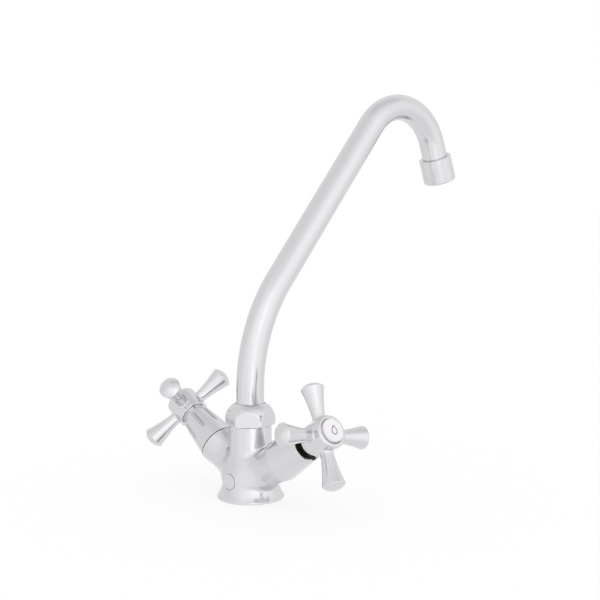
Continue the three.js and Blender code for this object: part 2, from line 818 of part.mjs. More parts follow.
function handleGeometry() {
  const { skirtRadius, skirtLength, skirtChamfer, barrelRadius, backChamfer, edge } = hub;
  const { rearCavityRadius, rearCavityDepth } = hub;
  const barrelBack = hubBack + skirtLength;
  const cavityFloor = hubBack + rearCavityDepth;
  const outline = [
    [rearCavityRadius, hubBack], [skirtRadius - skirtChamfer, hubBack],
    [skirtRadius, hubBack + skirtChamfer], [skirtRadius, barrelBack],
    [barrelRadius - backChamfer, barrelBack], [barrelRadius, barrelBack + backChamfer],
    ...quarterRound(barrelRadius - edge, hubFront - edge, edge, edge, 2),
    [recessRadius, hubFront], [recessRadius, recessFloor], [screw.headRadius + gap, recessFloor],
    [screw.headRadius + gap, webTop], [0, webTop], [0, cavityFloor], [rearCavityRadius, cavityFloor],
    [rearCavityRadius, hubBack],
  ];
  const arms = Array.from({ length: arm.count }, (_, i) => (
    revolve(armOutlinePoints(), drillSides).rotateY(Math.PI / 2)
      .rotateZ((i / arm.count) * 2 * Math.PI).translate(0, 0, armPlane)
  ));
  const side = spindle.square + 2 * gap;
  const squareHole = toGeometry(toSolid(box(side, side, cavityFloor - past, webBottom))
    .intersect(toSolid(rod(spindle.neckRadius + gap, cavityFloor - past, webBottom))));
  const screwHole = rod(screw.shankRadius + gap, webBottom - past, webTop + past, drillSides);
  return shaped(revolve(outline), { join: arms, cut: [squareHole, screwHole] });
}

function screwGeometry() {
  const headBottom = webTop + gap;
  const headTop = headBottom + screw.head;
  const shankEnd = spindleTop - screw.length + gap;
  const outline = [
    [0, shankEnd], [screw.shankRadius, shankEnd], [screw.shankRadius, headBottom],
    [screw.headRadius, headBottom], [screw.headRadius, headTop], [0, headTop],
  ];
  const slotLength = 2 * (screw.headRadius + past);
  const slot = box(slotLength, screw.slotWidth, headTop - screw.slotDepth, headTop + past);
  return shaped(revolve(outline, smallSides), { cut: [slot] });
}

// Slightly crowned disc with a bevelled rim, which snaps into the front of the hub.
function buttonGeometry() {
  const radius = recessRadius - gap;
  const face = radius - button.bevel;
  const steps = 3;
  const crown = Array.from({ length: steps + 1 }, (_, i) => {
    const share = 1 - i / steps; // 1 at the face's rim, 0 at the middle
    return [face * share, hubFront + button.crown * (1 - share ** 2)];
  });
  const side = [[0, recessFloor + gap], [radius, recessFloor + gap], [radius, hubFront - button.bevelDrop]];
  return revolve([...side, ...crown]);
}

// ---------------------------------------------------------------- assembly

const faucet = new THREE.Group();
faucet.name = 'faucet';

faucet.add(
  mesh('body', bodyGeometry(), chrome),
  mesh('foot_seal', footSealGeometry(), rubber),
  mesh('rear_plug', plugGeometry(), chrome),
  mesh('rear_plug_o_ring', plugRingGeometry(), rubber),
  mesh('spout_nut', nutGeometry(), chrome),
  mesh('spout_bearing_washer', bearingGeometry(), nylon),
);

function addSpout() {
  const spout = new THREE.Group();
  spout.add(
    mesh('spout_tube', sweptTube(tube.radius, tube.radius - tube.wall, tubeSides), chrome),
    mesh('spout_ferrule', ferruleGeometry(), brass),
    mesh('spout_o_ring_lower', spoutRingGeometry(ringHeights[0]), rubber),
    mesh('spout_o_ring_upper', spoutRingGeometry(ringHeights[1]), rubber),
  );
  const outlet = new THREE.Group();
  outlet.applyMatrix4(outletFrame());
  outlet.add(
    mesh('spout_tip', tipGeometry(), brass),
    mesh('aerator_housing', housingGeometry(), chrome),
    mesh('aerator_seal', aeratorSealGeometry(), rubber),
    mesh('aerator_cartridge', cartridgeGeometry(), nylon),
    mesh('aerator_screen', screenGeometry(), steel),
  );
  spout.add(outlet);
  faucet.add(spout);
}

// One valve: the fixed pieces, and those that turn and rise, lifted when it stands open.
function addValve(name, side, lifted, turned) {
  const fixed = new THREE.Group();
  fixed.applyMatrix4(valveFrame(side));
  fixed.add(
    mesh(`${name}_headwork_seal`, headworkSealGeometry(), fibre),
    mesh(`${name}_headwork`, headworkGeometry(), brass),
    mesh(`${name}_sleeve`, sleeveGeometry(), chrome),
    mesh(`${name}_guide_ring`, guideGeometry(), blackNylon),
  );
  const moving = new THREE.Group();
  moving.position.z = lifted;
  moving.rotation.z = radians(turned);
  moving.add(
    mesh(`${name}_jumper`, jumperGeometry(), brass),
    mesh(`${name}_jumper_washer`, jumperWasherGeometry(), rubber),
    mesh(`${name}_spindle`, spindleGeometry(), brass),
    mesh(`${name}_gland_ring_inner`, glandRingGeometry(glandHeights[0]), rubber),
    mesh(`${name}_gland_ring_outer`, glandRingGeometry(glandHeights[1]), rubber),
    mesh(`${name}_handle`, handleGeometry(), chrome),
    mesh(`${name}_handle_screw`, screwGeometry(), steel),
    mesh(`${name}_index_button`, buttonGeometry(), whiteEnamel),
  );
  fixed.add(moving);
  faucet.add(fixed);
}

addSpout();
for (const [name, side] of Object.entries(sides)) {
  addValve(name, side, turnsOpened[name] * valve.lead, handleTurned[name]);
}

export default faucet;
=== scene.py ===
# %% [markdown]
# # A two handle kitchen faucet, dressed in Blender
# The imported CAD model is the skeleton: it says where every piece sits and how it moves. This
# script gives the pieces that show their fine surfaces and finishes. Lengths are millimetres
# until a mesh is made, because that is how a plumber would read them.

# %% Load the frame
import json
import math

import bmesh
import bpy
import numpy as np
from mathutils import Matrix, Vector


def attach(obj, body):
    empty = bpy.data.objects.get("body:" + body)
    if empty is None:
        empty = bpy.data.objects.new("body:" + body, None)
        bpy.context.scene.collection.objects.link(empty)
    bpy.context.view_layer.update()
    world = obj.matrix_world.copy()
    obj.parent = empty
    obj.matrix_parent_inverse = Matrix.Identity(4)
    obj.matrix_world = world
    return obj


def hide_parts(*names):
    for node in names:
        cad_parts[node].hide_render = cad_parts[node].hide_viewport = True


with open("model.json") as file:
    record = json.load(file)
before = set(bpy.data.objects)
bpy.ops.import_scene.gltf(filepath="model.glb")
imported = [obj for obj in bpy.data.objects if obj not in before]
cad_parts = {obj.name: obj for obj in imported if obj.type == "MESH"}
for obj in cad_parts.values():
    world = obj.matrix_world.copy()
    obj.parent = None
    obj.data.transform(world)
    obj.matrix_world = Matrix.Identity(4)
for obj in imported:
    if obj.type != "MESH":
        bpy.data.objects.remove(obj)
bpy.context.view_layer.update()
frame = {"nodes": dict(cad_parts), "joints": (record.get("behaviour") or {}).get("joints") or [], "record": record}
MM = 0.001

# %% [markdown]
# ## Where things are
# Each valve leans out of the body along its own axis. The record's joints give those axes, so
# they are read from there. A frame here is an origin and three directions, and `placed` carries
# points from it to the faucet's own frame. `span` measures a CAD node along an axis, so a new
# surface takes its place from the node that it stands for.

# %% Frames and measures
UP = np.array([0.0, 0.0, 1.0])
FRONT = np.array([0.0, -1.0, 0.0])


def placed(points, where):
    """Origin plus each local coordinate times its direction."""
    origin, directions = where
    return origin + points @ directions


def turned_by(where, degrees, lifted=0.0):
    """The same frame turned about its own Z and moved along it."""
    origin, (x, y, z) = where
    c, s = math.cos(math.radians(degrees)), math.sin(math.radians(degrees))
    return origin + lifted * z, np.array([c * x + s * y, c * y - s * x, z])


def corners_of(node):
    """All vertices of a CAD node, in millimetres."""
    mesh = frame["nodes"][node].data
    flat = np.empty(3 * len(mesh.vertices))
    mesh.vertices.foreach_get("co", flat)
    return flat.reshape(-1, 3) / MM


def span(node, where):
    """Lowest and highest place of a node along a frame's Z, and its largest radius round it."""
    local = (corners_of(node) - where[0]) @ where[1].T
    return local[:, 2].min(), local[:, 2].max(), np.hypot(local[:, 0], local[:, 1]).max()


def valve_frame(side):
    """Z out along the valve's axis, X to the front of the faucet."""
    joint = next(j for j in frame["joints"] if j["name"] == f"{side}_turn")
    out = np.array(joint["axis"]) / np.linalg.norm(joint["axis"])
    return np.array(joint["pos_m"]) / MM, np.array([FRONT, np.cross(out, FRONT), out])


SIDES = ("hot", "cold")
body_frame = (np.zeros(3), np.eye(3))
valves = {side: valve_frame(side) for side in SIDES}
heart = valves["hot"][0]  # where the two valve axes meet
print("the valve axes meet at", heart)

# %% [markdown]
# ## Meshes from grids
# A surface is a grid of points, worked out as whole arrays. Faces join each point to its
# neighbours, and a grid that goes round joins its last column to its first. A piece is often
# several grids that share an edge: they are sewn by merging points that fall together, and the
# normals are then turned outwards. The smooth shading breaks only where two faces meet at more
# than the piece's sharp angle.

# %% From grids to a piece
SHARP, NUT_SHARP = 28, 16  # degrees between two faces, from which the shading shows an edge
SAME_POINT, NO_EDGE = 2e-6, 1e-7  # metres: points this close merge, and edges this short vanish


def faces_of(shape, first, goes_round):
    """Corner numbers of a grid's quads, counted from first: each point with the next one in its
    row and the two below them. Where the grid goes round, its first column follows its last."""
    rows, columns = shape[:2]
    number = first + np.arange(rows * columns).reshape(rows, columns)
    if goes_round:
        number = np.column_stack([number, number[:, 0]])
    corners = [number[:-1, :-1], number[:-1, 1:], number[1:, 1:], number[1:, :-1]]
    return np.stack(corners, -1).reshape(-1, 4)


def sewn(name, grids, open_grids=(), sharp=SHARP):
    """One closed mesh object from grids in millimetres. The open grids don't go round."""
    points, faces, first = [], [], 0
    for grid, goes_round in [(g, True) for g in grids] + [(g, False) for g in open_grids]:
        points.append(grid.reshape(-1, 3))
        faces.append(faces_of(grid.shape, first, goes_round))
        first += grid.shape[0] * grid.shape[1]
    mesh = bpy.data.meshes.new(name)
    mesh.from_pydata(np.concatenate(points) * MM, [], np.concatenate(faces).tolist())
    work = bmesh.new()
    work.from_mesh(mesh)
    bmesh.ops.remove_doubles(work, verts=work.verts, dist=SAME_POINT)
    bmesh.ops.dissolve_degenerate(work, edges=work.edges, dist=NO_EDGE)
    bmesh.ops.recalc_face_normals(work, faces=work.faces)
    work.to_mesh(mesh)
    work.free()
    mesh.shade_smooth()
    mesh.set_sharp_from_angle(angle=math.radians(sharp))
    piece = bpy.data.objects.new(name, mesh)
    bpy.context.scene.collection.objects.link(piece)
    print(f"{name}: {len(mesh.polygons)} faces")
    return piece


# %% [markdown]
# ## Turned pieces
# Most of a faucet is turned on a lathe: an outline of radius and height, carried round an axis.
# Blender's Spin or Screw could do it. A grid of radius times direction does the same in one
# line and leaves no seam. No real edge is a knife edge, and on plated metal the small rounding
# is what catches the light. So each corner of an outline may have a fillet, a curve that starts
# that far before the corner and ends that far after it. A point just outside each curve keeps
# the flats flat.

# %% Outlines and turning
SIDES_ROUND = 128
WHOLE_TURN = np.arange(0, 360, 3.0)  # degrees, the columns of the castings' grids
FILLET_STEPS = 5
BESIDE = 0.15  # how far outside a fillet its extra points lie, as a share of the fillet


def bent(start, corner, end, share):
    """Quadratic curve that leaves start towards the corner and reaches end from the corner."""
    return (1 - share) ** 2 * start + 2 * share * (1 - share) * corner + share**2 * end


def rounded(corners):
    """Outline through (radius, height, fillet) corners. A fillet is a quadratic curve."""
    place = np.array([corner[:2] for corner in corners], float)
    outline = []
    share = np.linspace(0, 1, FILLET_STEPS + 1)[:, None]
    for i, corner in enumerate(corners):
        fillet = corner[2] if len(corner) > 2 else 0
        if not fillet:
            outline.append(place[i : i + 1])
            continue
        back, on = place[i - 1] - place[i], place[(i + 1) % len(place)] - place[i]
        back, on = back / np.linalg.norm(back), on / np.linalg.norm(on)
        start, end = place[i] + fillet * back, place[i] + fillet * on
        curve, keep = bent(start, place[i], end, share), BESIDE * fillet
        outline.append(np.vstack([start + keep * back, curve, end + keep * on]))
    return np.vstack(outline)


def ring_directions(angles):
    """Unit vectors round Z at the given angles."""
    return np.stack([np.cos(angles), np.sin(angles), np.zeros_like(angles)], -1)


def turned(outline, angles=None):
    """Grid with one row for each outline point: radius times direction plus height times Z."""
    if angles is None:
        angles = np.linspace(0, 2 * np.pi, SIDES_ROUND, endpoint=False)
    outline = np.asarray(outline, float)
    return outline[:, 0, None, None] * ring_directions(angles) + outline[:, 1, None, None] * UP


def turned_ring(name, corners, where):
    """A turned piece with a hole in the middle: its outline closes on itself."""
    outline = rounded(corners)
    return sewn(name, [placed(turned(np.vstack([outline, outline[:1]])), where)])


# %% Blends of shapes


def ease(share):
    """Smooth step from 0 to 1."""
    held = np.clip(share, 0, 1)
    return held * held * (3 - 2 * held)


def soft_max(values, width):
    """Largest of several arrays. Where two differ by less than width, the crease is filled by
    (width - difference)^2 / (4 width), which is a quarter of the width in its middle."""
    top = values[0]
    for other in values[1:]:
        near = np.clip(width - np.abs(top - other), 0, None)
        top = np.maximum(top, other) + near**2 / (4 * width)
    return top


def soft_min(values, width):
    """Smallest of several arrays, with the corner between two of them cut in the same way."""
    return -soft_max([-value for value in values], width)


# %% [markdown]
# ## A casting seen from its heart
# The body is one brass casting: an upright column with two arms. Joining a column and two arms
# with a Boolean would leave sharp creases, which a bevel follows badly where they fade out.
# But seen from the point where all three axes meet, every direction leaves the metal just
# once, so its outside is one formula: the distance to the surface in each direction. That
# distance is the largest of those to the column and to the two arms, and a soft maximum fills
# the creases as a foundry's fillets do. The crosses of the handles are castings of the same
# kind, with four arms round a hub.
#
# A plain globe grid would cut the round ends of the arms into steps. So the globe has a window
# round each arm, filled by rings that run from the window's edge to a circle about the arm's
# own axis, and the arm goes on from that circle as a turned piece.

# %% A branching casting


def globe(longitudes, latitudes):
    """Unit vectors of a grid, from latitudes in rows and longitudes in columns, in degrees."""
    lon, lat = np.radians(longitudes)[None, :], np.radians(latitudes)[:, None]
    flat = np.cos(lat)
    return np.stack([flat * np.cos(lon), flat * np.sin(lon), np.sin(lat) + 0 * lon], -1)


def angle_from(directions, axis):
    """Angle between unit vectors and an axis, in degrees."""
    return np.degrees(np.arccos(np.clip(directions @ axis, -1, 1)))


def window_edge(centre, half_width, latitudes, columns):
    """Unit vectors once round a window of the globe, each corner once."""
    lon = np.linspace(centre - half_width, centre + half_width, columns + 1)
    low, high = latitudes[:1], latitudes[-1:]
    sides = [
        globe(lon[:-1], low)[0],
        globe(lon[-1:], latitudes[:-1])[:, 0],
        globe(lon[:0:-1], high)[0],
        globe(lon[:1], latitudes[:0:-1])[:, 0],
    ]
    return np.vstack(sides)


def branch_rings(edge, axis, opening, count):
    """Rings of unit vectors from a window's edge to a circle about the branch's axis.
    Each point keeps its bearing round the axis while its angle from it shrinks evenly."""
    side = np.cross(axis, UP)
    side = side / np.linalg.norm(side)
    over = np.cross(side, axis)
    bearing = np.arctan2(edge @ over, edge @ side)
    shrink = np.linspace(0, 1, count + 1)[:, None]
    angle = np.radians((1 - shrink) * angle_from(edge, axis) + shrink * opening)
    around = np.cos(bearing)[:, None] * side + np.sin(bearing)[:, None] * over
    rings = np.cos(angle)[..., None] * axis + np.sin(angle)[..., None] * around
    return rings, around


def carried_on(outline, axis, around):
    """Turned rows about a branch's axis: distance times axis plus radius times bearing."""
    outline = np.asarray(outline, float)
    return outline[:, 1, None, None] * axis + outline[:, 0, None, None] * around


# %% [markdown]
# ## The cast body
# The column is a hollow flare at the foot, a taper, and a round collar below the nut. The arms
# are cylinders that widen to their mouths, where the valves' sleeves sit flush. The fillets are
# broad in the crook between column and arm, narrower under the arms and tight at the collar, so
# their width depends on latitude.

# %% Body: the distance to its surface
COLUMN = {
    "foot": 23.0, "rim": 1.6, "waist": 19.2, "waist_height": 12.5, "shoulder": 36.0,
    "collar": 14.6, "collar_top": 50.7, "collar_side": 0.6, "collar_edge": 0.4, "foot_edge": 0.9,
}
ARM = {
    "radius": 12.4, "mouth": 14.4, "length": 37.8, "lip": 0.2, "edge": 0.2, "flare": 17.0,
    "curve": 1.6, "bore": 8.5, "seat": 16.0,
}
FILLET_LATITUDES = [-15, 0, 45, 62, 69]
FILLET_WIDTHS = [4.0, 9.0, 11.0, 6.0, 1.5]  # of the soft maximum at those latitudes
SAMPLES = 400  # of each outline, between which the distances are interpolated


def column_radius(height):
    """Flare up to the waist, smooth taper to the shoulder, then upright."""
    c = COLUMN
    flare = np.clip((height - c["rim"]) / (c["waist_height"] - c["rim"]), 0, 1)
    taper = ease((height - c["waist_height"]) / (c["shoulder"] - c["waist_height"]))
    low = (c["foot"] - c["waist"]) * (1 - flare) ** 2
    return c["waist"] + low + (c["collar"] - c["waist"]) * taper


def arm_radius(distance):
    """Cylinder that widens to the mouth by a power of the distance."""
    share = np.clip((distance - ARM["length"] + ARM["flare"]) / ARM["flare"], 0, 1)
    return ARM["radius"] + (ARM["mouth"] - ARM["radius"]) * share ** ARM["curve"]


heights = np.linspace(COLUMN["rim"], COLUMN["collar_top"], SAMPLES)
column_latitude = np.degrees(np.arctan2(heights - heart[2], column_radius(heights)))
column_reach = np.hypot(heights - heart[2], column_radius(heights))
distances = np.linspace(ARM["length"], 0, SAMPLES)
arm_angle = np.degrees(np.arctan2(arm_radius(distances), distances))
arm_reach = np.hypot(distances, arm_radius(distances))


def body_reach(directions):
    """Soft maximum of the distances to the column and to both arms."""
    latitude = np.degrees(np.arcsin(np.clip(directions[..., 2], -1, 1)))
    reaches = [np.interp(latitude, column_latitude, column_reach)]
    for side in SIDES:
        off_axis = angle_from(directions, valves[side][1][2])
        reaches.append(np.interp(off_axis, arm_angle, arm_reach))
    return soft_max(reaches, np.interp(latitude, FILLET_LATITUDES, FILLET_WIDTHS))


# %% Body: the globe with its two windows
collar_start = COLUMN["collar_top"] - COLUMN["collar_side"]
body_low = math.degrees(math.atan2(COLUMN["rim"] - heart[2], COLUMN["foot"]))
body_high = math.degrees(math.atan2(collar_start - heart[2], COLUMN["collar"]))
window_low, window_high, window_half = -15.0, 66.0, 60.0
strip_half = 90 - window_half  # the strips between the windows, at the front and the back
band = np.linspace(window_low, window_high, 61)
below = np.linspace(body_low, window_low, 16)
above = np.linspace(window_high, body_high, 4)
body_grids, body_strips = [], []
for latitudes in (below, above):
    directions = globe(WHOLE_TURN, latitudes)
    body_grids.append(directions * body_reach(directions)[..., None])
for middle in (90, 270):
    directions = globe(np.linspace(middle - strip_half, middle + strip_half, 21), band)
    body_strips.append(directions * body_reach(directions)[..., None])
print("the globe runs from latitude", round(body_low, 1), "to", round(body_high, 1))

# %% Body: its arms
inside_mouth = 1.6  # where the turned end of an arm takes over, measured back from its mouth
mouth_start = ARM["length"] - inside_mouth
mouth_angle = math.degrees(math.atan2(arm_radius(mouth_start), mouth_start))
mouth = ARM["length"] + ARM["lip"]
mouth_outline = rounded([
    (arm_radius(mouth_start), mouth_start), (ARM["mouth"], mouth, ARM["edge"]),
    (ARM["bore"], mouth), (ARM["bore"], ARM["seat"]), (0, ARM["seat"]),
])
for side, middle in (("hot", 180), ("cold", 0)):
    axis = valves[side][1][2]
    edge = window_edge(middle, window_half, band, columns=40)
    rings, around = branch_rings(edge, axis, mouth_angle, count=60)
    skin = rings * body_reach(rings)[..., None]
    body_grids += [
        skin,
        np.concatenate([skin[-1:], carried_on(mouth_outline[1:], axis, around)]),
    ]

# %% Body: collar, socket and underside
CLEARANCE = 0.3  # between neighbouring pieces
THREAD = {"radius": 12.0, "top": 58.6}
SOCKET = {"radius": 10.0, "floor": 44.2, "chamber": 8.0, "chamber_floor": 30.0}
SEAL = {"inner": 18.3, "width": 1.8, "height": 1.6, "edge": 0.4}
collar_inside = rounded([
    (COLUMN["collar"], collar_start), (COLUMN["collar"], COLUMN["collar_top"], COLUMN["collar_edge"]),
    (THREAD["radius"], COLUMN["collar_top"]), (THREAD["radius"], THREAD["top"]),
    (SOCKET["radius"], THREAD["top"]), (SOCKET["radius"], SOCKET["floor"]),
    (SOCKET["chamber"], SOCKET["floor"]), (SOCKET["chamber"], SOCKET["chamber_floor"]),
    (0, SOCKET["chamber_floor"]),
])
groove_in = SEAL["inner"] - CLEARANCE
groove_out = SEAL["inner"] + SEAL["width"] + CLEARANCE
groove_top = SEAL["height"] + 2 * CLEARANCE
underside = rounded([
    (COLUMN["foot"], COLUMN["rim"]), (COLUMN["foot"], 0, COLUMN["foot_edge"]), (groove_out, 0),
    (groove_out, groove_top), (groove_in, groove_top), (groove_in, 0), (0, 0),
])
for outline, first_ring in ((collar_inside, body_grids[1][-1:]), (underside, body_grids[0][:1])):
    rows = turned(outline, np.radians(WHOLE_TURN)) - heart
    body_grids.append(np.concatenate([first_ring, rows[1:]]))
body = sewn("cast_body", [g + heart for g in body_grids], [g + heart for g in body_strips])

# %% [markdown]
# ## Drilling the body
# The holes under the foot, and the spot-faced hole at the back that its plug closes, cross the
# casting's skin at an angle, so no grid line can follow their edges. A Boolean modifier cuts
# them and is applied at once.

# %% Body: drilled holes
OUTSIDE = 1.0  # how far a cutter starts outside the metal


def drilled(piece, cutters):
    """Cuts the closed cutters out of a piece, deletes them and shades the piece again."""
    for cutter in cutters:
        cut = piece.modifiers.new(cutter.name, "BOOLEAN")
        cut.operation, cut.solver, cut.object = "DIFFERENCE", "EXACT", cutter
    bpy.context.view_layer.update()
    evaluated = piece.evaluated_get(bpy.context.evaluated_depsgraph_get())
    done = bpy.data.meshes.new_from_object(evaluated)
    piece.modifiers.clear()
    piece.data = done
    for cutter in cutters:
        bpy.data.objects.remove(cutter)
    done.shade_smooth()
    done.set_sharp_from_angle(angle=math.radians(SHARP))
    return piece


def drill(name, radius, low, high, where):
    """A closed cylinder along a frame's Z."""
    outline = [(0, low), (radius, low), (radius, high), (0, high)]
    return sewn(name, [placed(turned(outline), where)])


INLET = {"radius": 4.5, "offset": 9.5, "depth": 18.0}
STUD = {"radius": 3.4, "offset": 12.5, "depth": 14.0}
PLUG = {
    "radius": 5.35, "thickness": 2.3, "edge": 0.35, "seam": 0.12, "seat": 17.2, "height": 13.6,
    "shank": 3.6, "length": 7.0, "past_skin": 12.0,
}
plug_frame = (
    np.array([0, PLUG["seat"], PLUG["height"]]),
    np.array([[1.0, 0, 0], [0, 0, -1.0], [0, 1.0, 0]]),
)
cutters = [
    drill(name, hole["radius"], -OUTSIDE, hole["depth"], (np.array(place), body_frame[1]))
    for name, hole, place in (
        ("inlet_hot", INLET, [-INLET["offset"], 0, 0]),
        ("inlet_cold", INLET, [INLET["offset"], 0, 0]),
        ("stud_hole", STUD, [0, -STUD["offset"], 0]),
    )
]
cutters += [
    drill("spot_face", PLUG["radius"] + PLUG["seam"], -CLEARANCE, PLUG["past_skin"], plug_frame),
    drill("plug_hole", PLUG["shank"] + CLEARANCE, -PLUG["length"] - OUTSIDE, OUTSIDE, plug_frame),
]
drilled(body, cutters)
print("the drilled body has", len(body.data.polygons), "faces")

# %% Rear plug and foot seal
plug = sewn("closing_plug", [placed(turned(rounded([
    (0, -PLUG["length"]), (PLUG["shank"], -PLUG["length"]), (PLUG["shank"], 0), (PLUG["radius"], 0),
    (PLUG["radius"], PLUG["thickness"], PLUG["edge"]), (0, PLUG["thickness"]),
])), plug_frame)])
seal_low, seal_high, seal_outer = span("foot_seal", body_frame)
seal_inner = seal_outer - SEAL["width"]
foot_seal = turned_ring("foot_ring_seal", [
    (seal_inner, seal_low, SEAL["edge"]), (seal_outer, seal_low, SEAL["edge"]),
    (seal_outer, seal_high), (seal_inner, seal_high),
], body_frame)

# %% [markdown]
# ## The spout nut
# A nut like this is turned to a dome first and then milled to six flats, so each flat ends in a
# gothic arch where it meets the dome. Cutting the flats with a Boolean would leave the arch's
# edge without a rounding. In each direction round the axis the flat's distance is known, and
# the arch's height is where the dome has shrunk to it. Rows of the grid follow the arch, so
# that its edge is a clean line with a small rounding of its own.

# %% Spout nut: its dome and its flats
NUT = {
    "flats": 30.0, "dome_height": 12.0, "dome_inset": 4.3, "rim": 10.3, "rim_edge": 0.5, "bore": 9.8,
    "lip": 2.2, "thread": 12.3, "thread_depth": 8.9, "seat": 11.3, "turned": 43.0,
    "chamfer": 0.9, "edge": 0.35, "edge_inward": 0.8, "corner": 0.12, "corner_round": 0.17,
    "chamfer_round": 0.22,
}
nut_low, nut_high, nut_corner = span("spout_nut", body_frame)
dome_centre = NUT["rim"] - NUT["dome_inset"]
dome_across = nut_corner - dome_centre
dome_up = NUT["dome_height"] / math.sqrt(1 - (NUT["dome_inset"] / dome_across) ** 2)


def dome_at(radius):
    """Height of the dome, a quarter ellipse, at a radius."""
    return nut_high - NUT["dome_height"] + dome_up * np.sqrt(
        np.clip(1 - ((radius - dome_centre) / dome_across) ** 2, 0, 1)
    )


half_flat = 30  # degrees
facet = half_flat * np.linspace(-1, 1, 41)[:-1]  # degrees from the middle of a flat
six_flats = 2 * half_flat * np.arange(6)[:, None]
nut_angles = np.radians((NUT["turned"] + half_flat + facet + six_flats).ravel())
flat = np.tile(NUT["flats"] / 2 / np.cos(np.radians(facet)), 6)
flat = soft_min([flat, nut_corner - NUT["corner"]], NUT["corner_round"])
arch = dome_at(flat)
print("the arches rise from", round(arch.min(), 2), "to", round(arch.max(), 2), "mm")

# %% Spout nut: rows from the base over the flats and the dome to the bore
share = np.linspace(0, 1, 7)[:, None]
chamfer, edge = NUT["chamfer"], NUT["edge"]
base_height = nut_low + chamfer * 2 * share
base = soft_min([flat, nut_corner - chamfer + (base_height - nut_low)], NUT["chamfer_round"])
flat_start = nut_low + 2 * chamfer
flat_height = flat_start + (arch - edge - nut_low - 2 * chamfer) * np.linspace(0, 1, 9)[1:, None]
after = flat - edge * NUT["edge_inward"]  # where the edge of the arch ends on the dome
bend = bent(flat, flat, after, share)
bend_height = bent(arch - edge, arch, dome_at(after), share)
dome = after + (NUT["rim"] - after) * np.linspace(0, 1, 25)[1:, None]
nut_radius = np.vstack([base, np.broadcast_to(flat, flat_height.shape), bend, dome])
nut_height = np.vstack([
    np.broadcast_to(base_height, base.shape), flat_height, bend_height, dome_at(dome),
])
nut_skin = nut_radius[..., None] * ring_directions(nut_angles) + nut_height[..., None] * UP
nut_inside = turned([
    (NUT["rim"], nut_high), (NUT["bore"], nut_high - NUT["rim_edge"]),
    (NUT["bore"], nut_high - NUT["lip"]), (NUT["seat"], nut_high - NUT["lip"]),
    (NUT["seat"], nut_low + NUT["thread_depth"]), (NUT["thread"], nut_low + NUT["thread_depth"]),
    (NUT["thread"], nut_low),
], nut_angles)
nut_grid = np.concatenate([nut_skin, nut_inside, nut_skin[:1]])
spout_nut = sewn("domed_spout_nut", [nut_grid], sharp=NUT_SHARP)

# %% [markdown]
# ## The spout
# One brass tube, drawn thin, bent twice and plated. A curve with a bevel would give its
# outside. Rings worked out along its middle line give both walls and join them at the ends. The
# middle line lies in one plane. The lean from upright is a broken line of the distance along
# the tube, level on the straights and rising on the bends, and the running sums of its sine and
# cosine are the reach and the height.

# %% Spout tube
TUBE = {
    "bottom": 61.1, "radius": 9.5, "wall": 1.0, "upright": 13.5, "slope": 141.6, "tip": 18.7,
    "step": 1.25,
}
BENDS = ((113.8, 40.25), (39.8, 119.85))  # radius and turn of each bend


def tube_middle(step):
    """Reach, height and lean along the tube, from its lower end to its upper."""
    (wide, first), (tight, second) = BENDS
    lengths = [
        TUBE["upright"], wide * math.radians(first), TUBE["slope"],
        tight * math.radians(second), TUBE["tip"],
    ]
    marks = np.concatenate([[0], np.cumsum(lengths)])
    leans = np.radians([0, 0, first, first, first + second, first + second])
    along = np.linspace(0, marks[-1], int(marks[-1] / step))
    lean = np.interp(along, marks, leans)
    middle = np.interp((along[1:] + along[:-1]) / 2, marks, leans)
    pace = np.diff(along)
    reach = np.concatenate([[0], np.cumsum(pace * np.sin(middle))])
    height = TUBE["bottom"] + np.concatenate([[0], np.cumsum(pace * np.cos(middle))])
    return reach, height, lean


def swept(reach, height, lean, radius, columns=72):
    """Rings square to the middle line, each a circle of the given radius."""
    angle = np.linspace(0, 2 * np.pi, columns, endpoint=False)
    sideways = np.array([1.0, 0, 0])
    forward = np.stack([0 * lean, -np.cos(lean), -np.sin(lean)], -1)
    middle = np.stack([0 * reach, -reach, height], -1)
    ring = np.cos(angle)[:, None] * sideways + np.sin(angle)[:, None] * forward[:, None, :]
    return middle[:, None, :] + radius * ring


line = tube_middle(TUBE["step"])
outer, inner = swept(*line, TUBE["radius"]), swept(*line, TUBE["radius"] - TUBE["wall"])
spout_tube = sewn("bent_spout_tube", [np.concatenate([outer, inner[::-1], outer[:1]])])
print("the tube ends at reach and height", line[0][-1], line[1][-1])

# %% [markdown]
# ## The outlet
# A turned housing screws over the tube's tip. Its upper end has a lip that comes close to the
# tube, just below the rim. Inside its mouth sits the moulded insert, whose CAD shape stays. The
# housing hangs tilted, so its frame comes from the CAD node and the mount at the outlet.

# %% Outlet housing
outlet_mount = next(m for m in frame["record"]["mounts"] if m["name"] == "outlet_face")
back_up = -np.array(outlet_mount["axis"])
housing_middle = corners_of("aerator_housing").mean(axis=0)
housing_low = ((corners_of("aerator_housing") - housing_middle) @ back_up).min()
across_x = np.array([1.0, 0, 0])
outlet = (
    housing_middle + housing_low * back_up,
    np.array([across_x, np.cross(back_up, across_x), back_up]),
)
HOUSING = {
    "radius": 12.4, "length": 19.4, "wall": 1.2, "edge": 1.6, "top_edge": 0.6, "lip": 1.0,
    "mouth": 9.0, "mouth_edge": 0.3, "ledge": 7.2, "pocket": 10.2,
}
UPPER_LIP = {"radius": 9.6, "below": 0.1, "thickness": 1.2, "edge": 0.1}  # round the tube
lip_top = HOUSING["length"] - UPPER_LIP["below"]
lip_bottom = lip_top - UPPER_LIP["thickness"]
inside = HOUSING["radius"] - HOUSING["wall"]
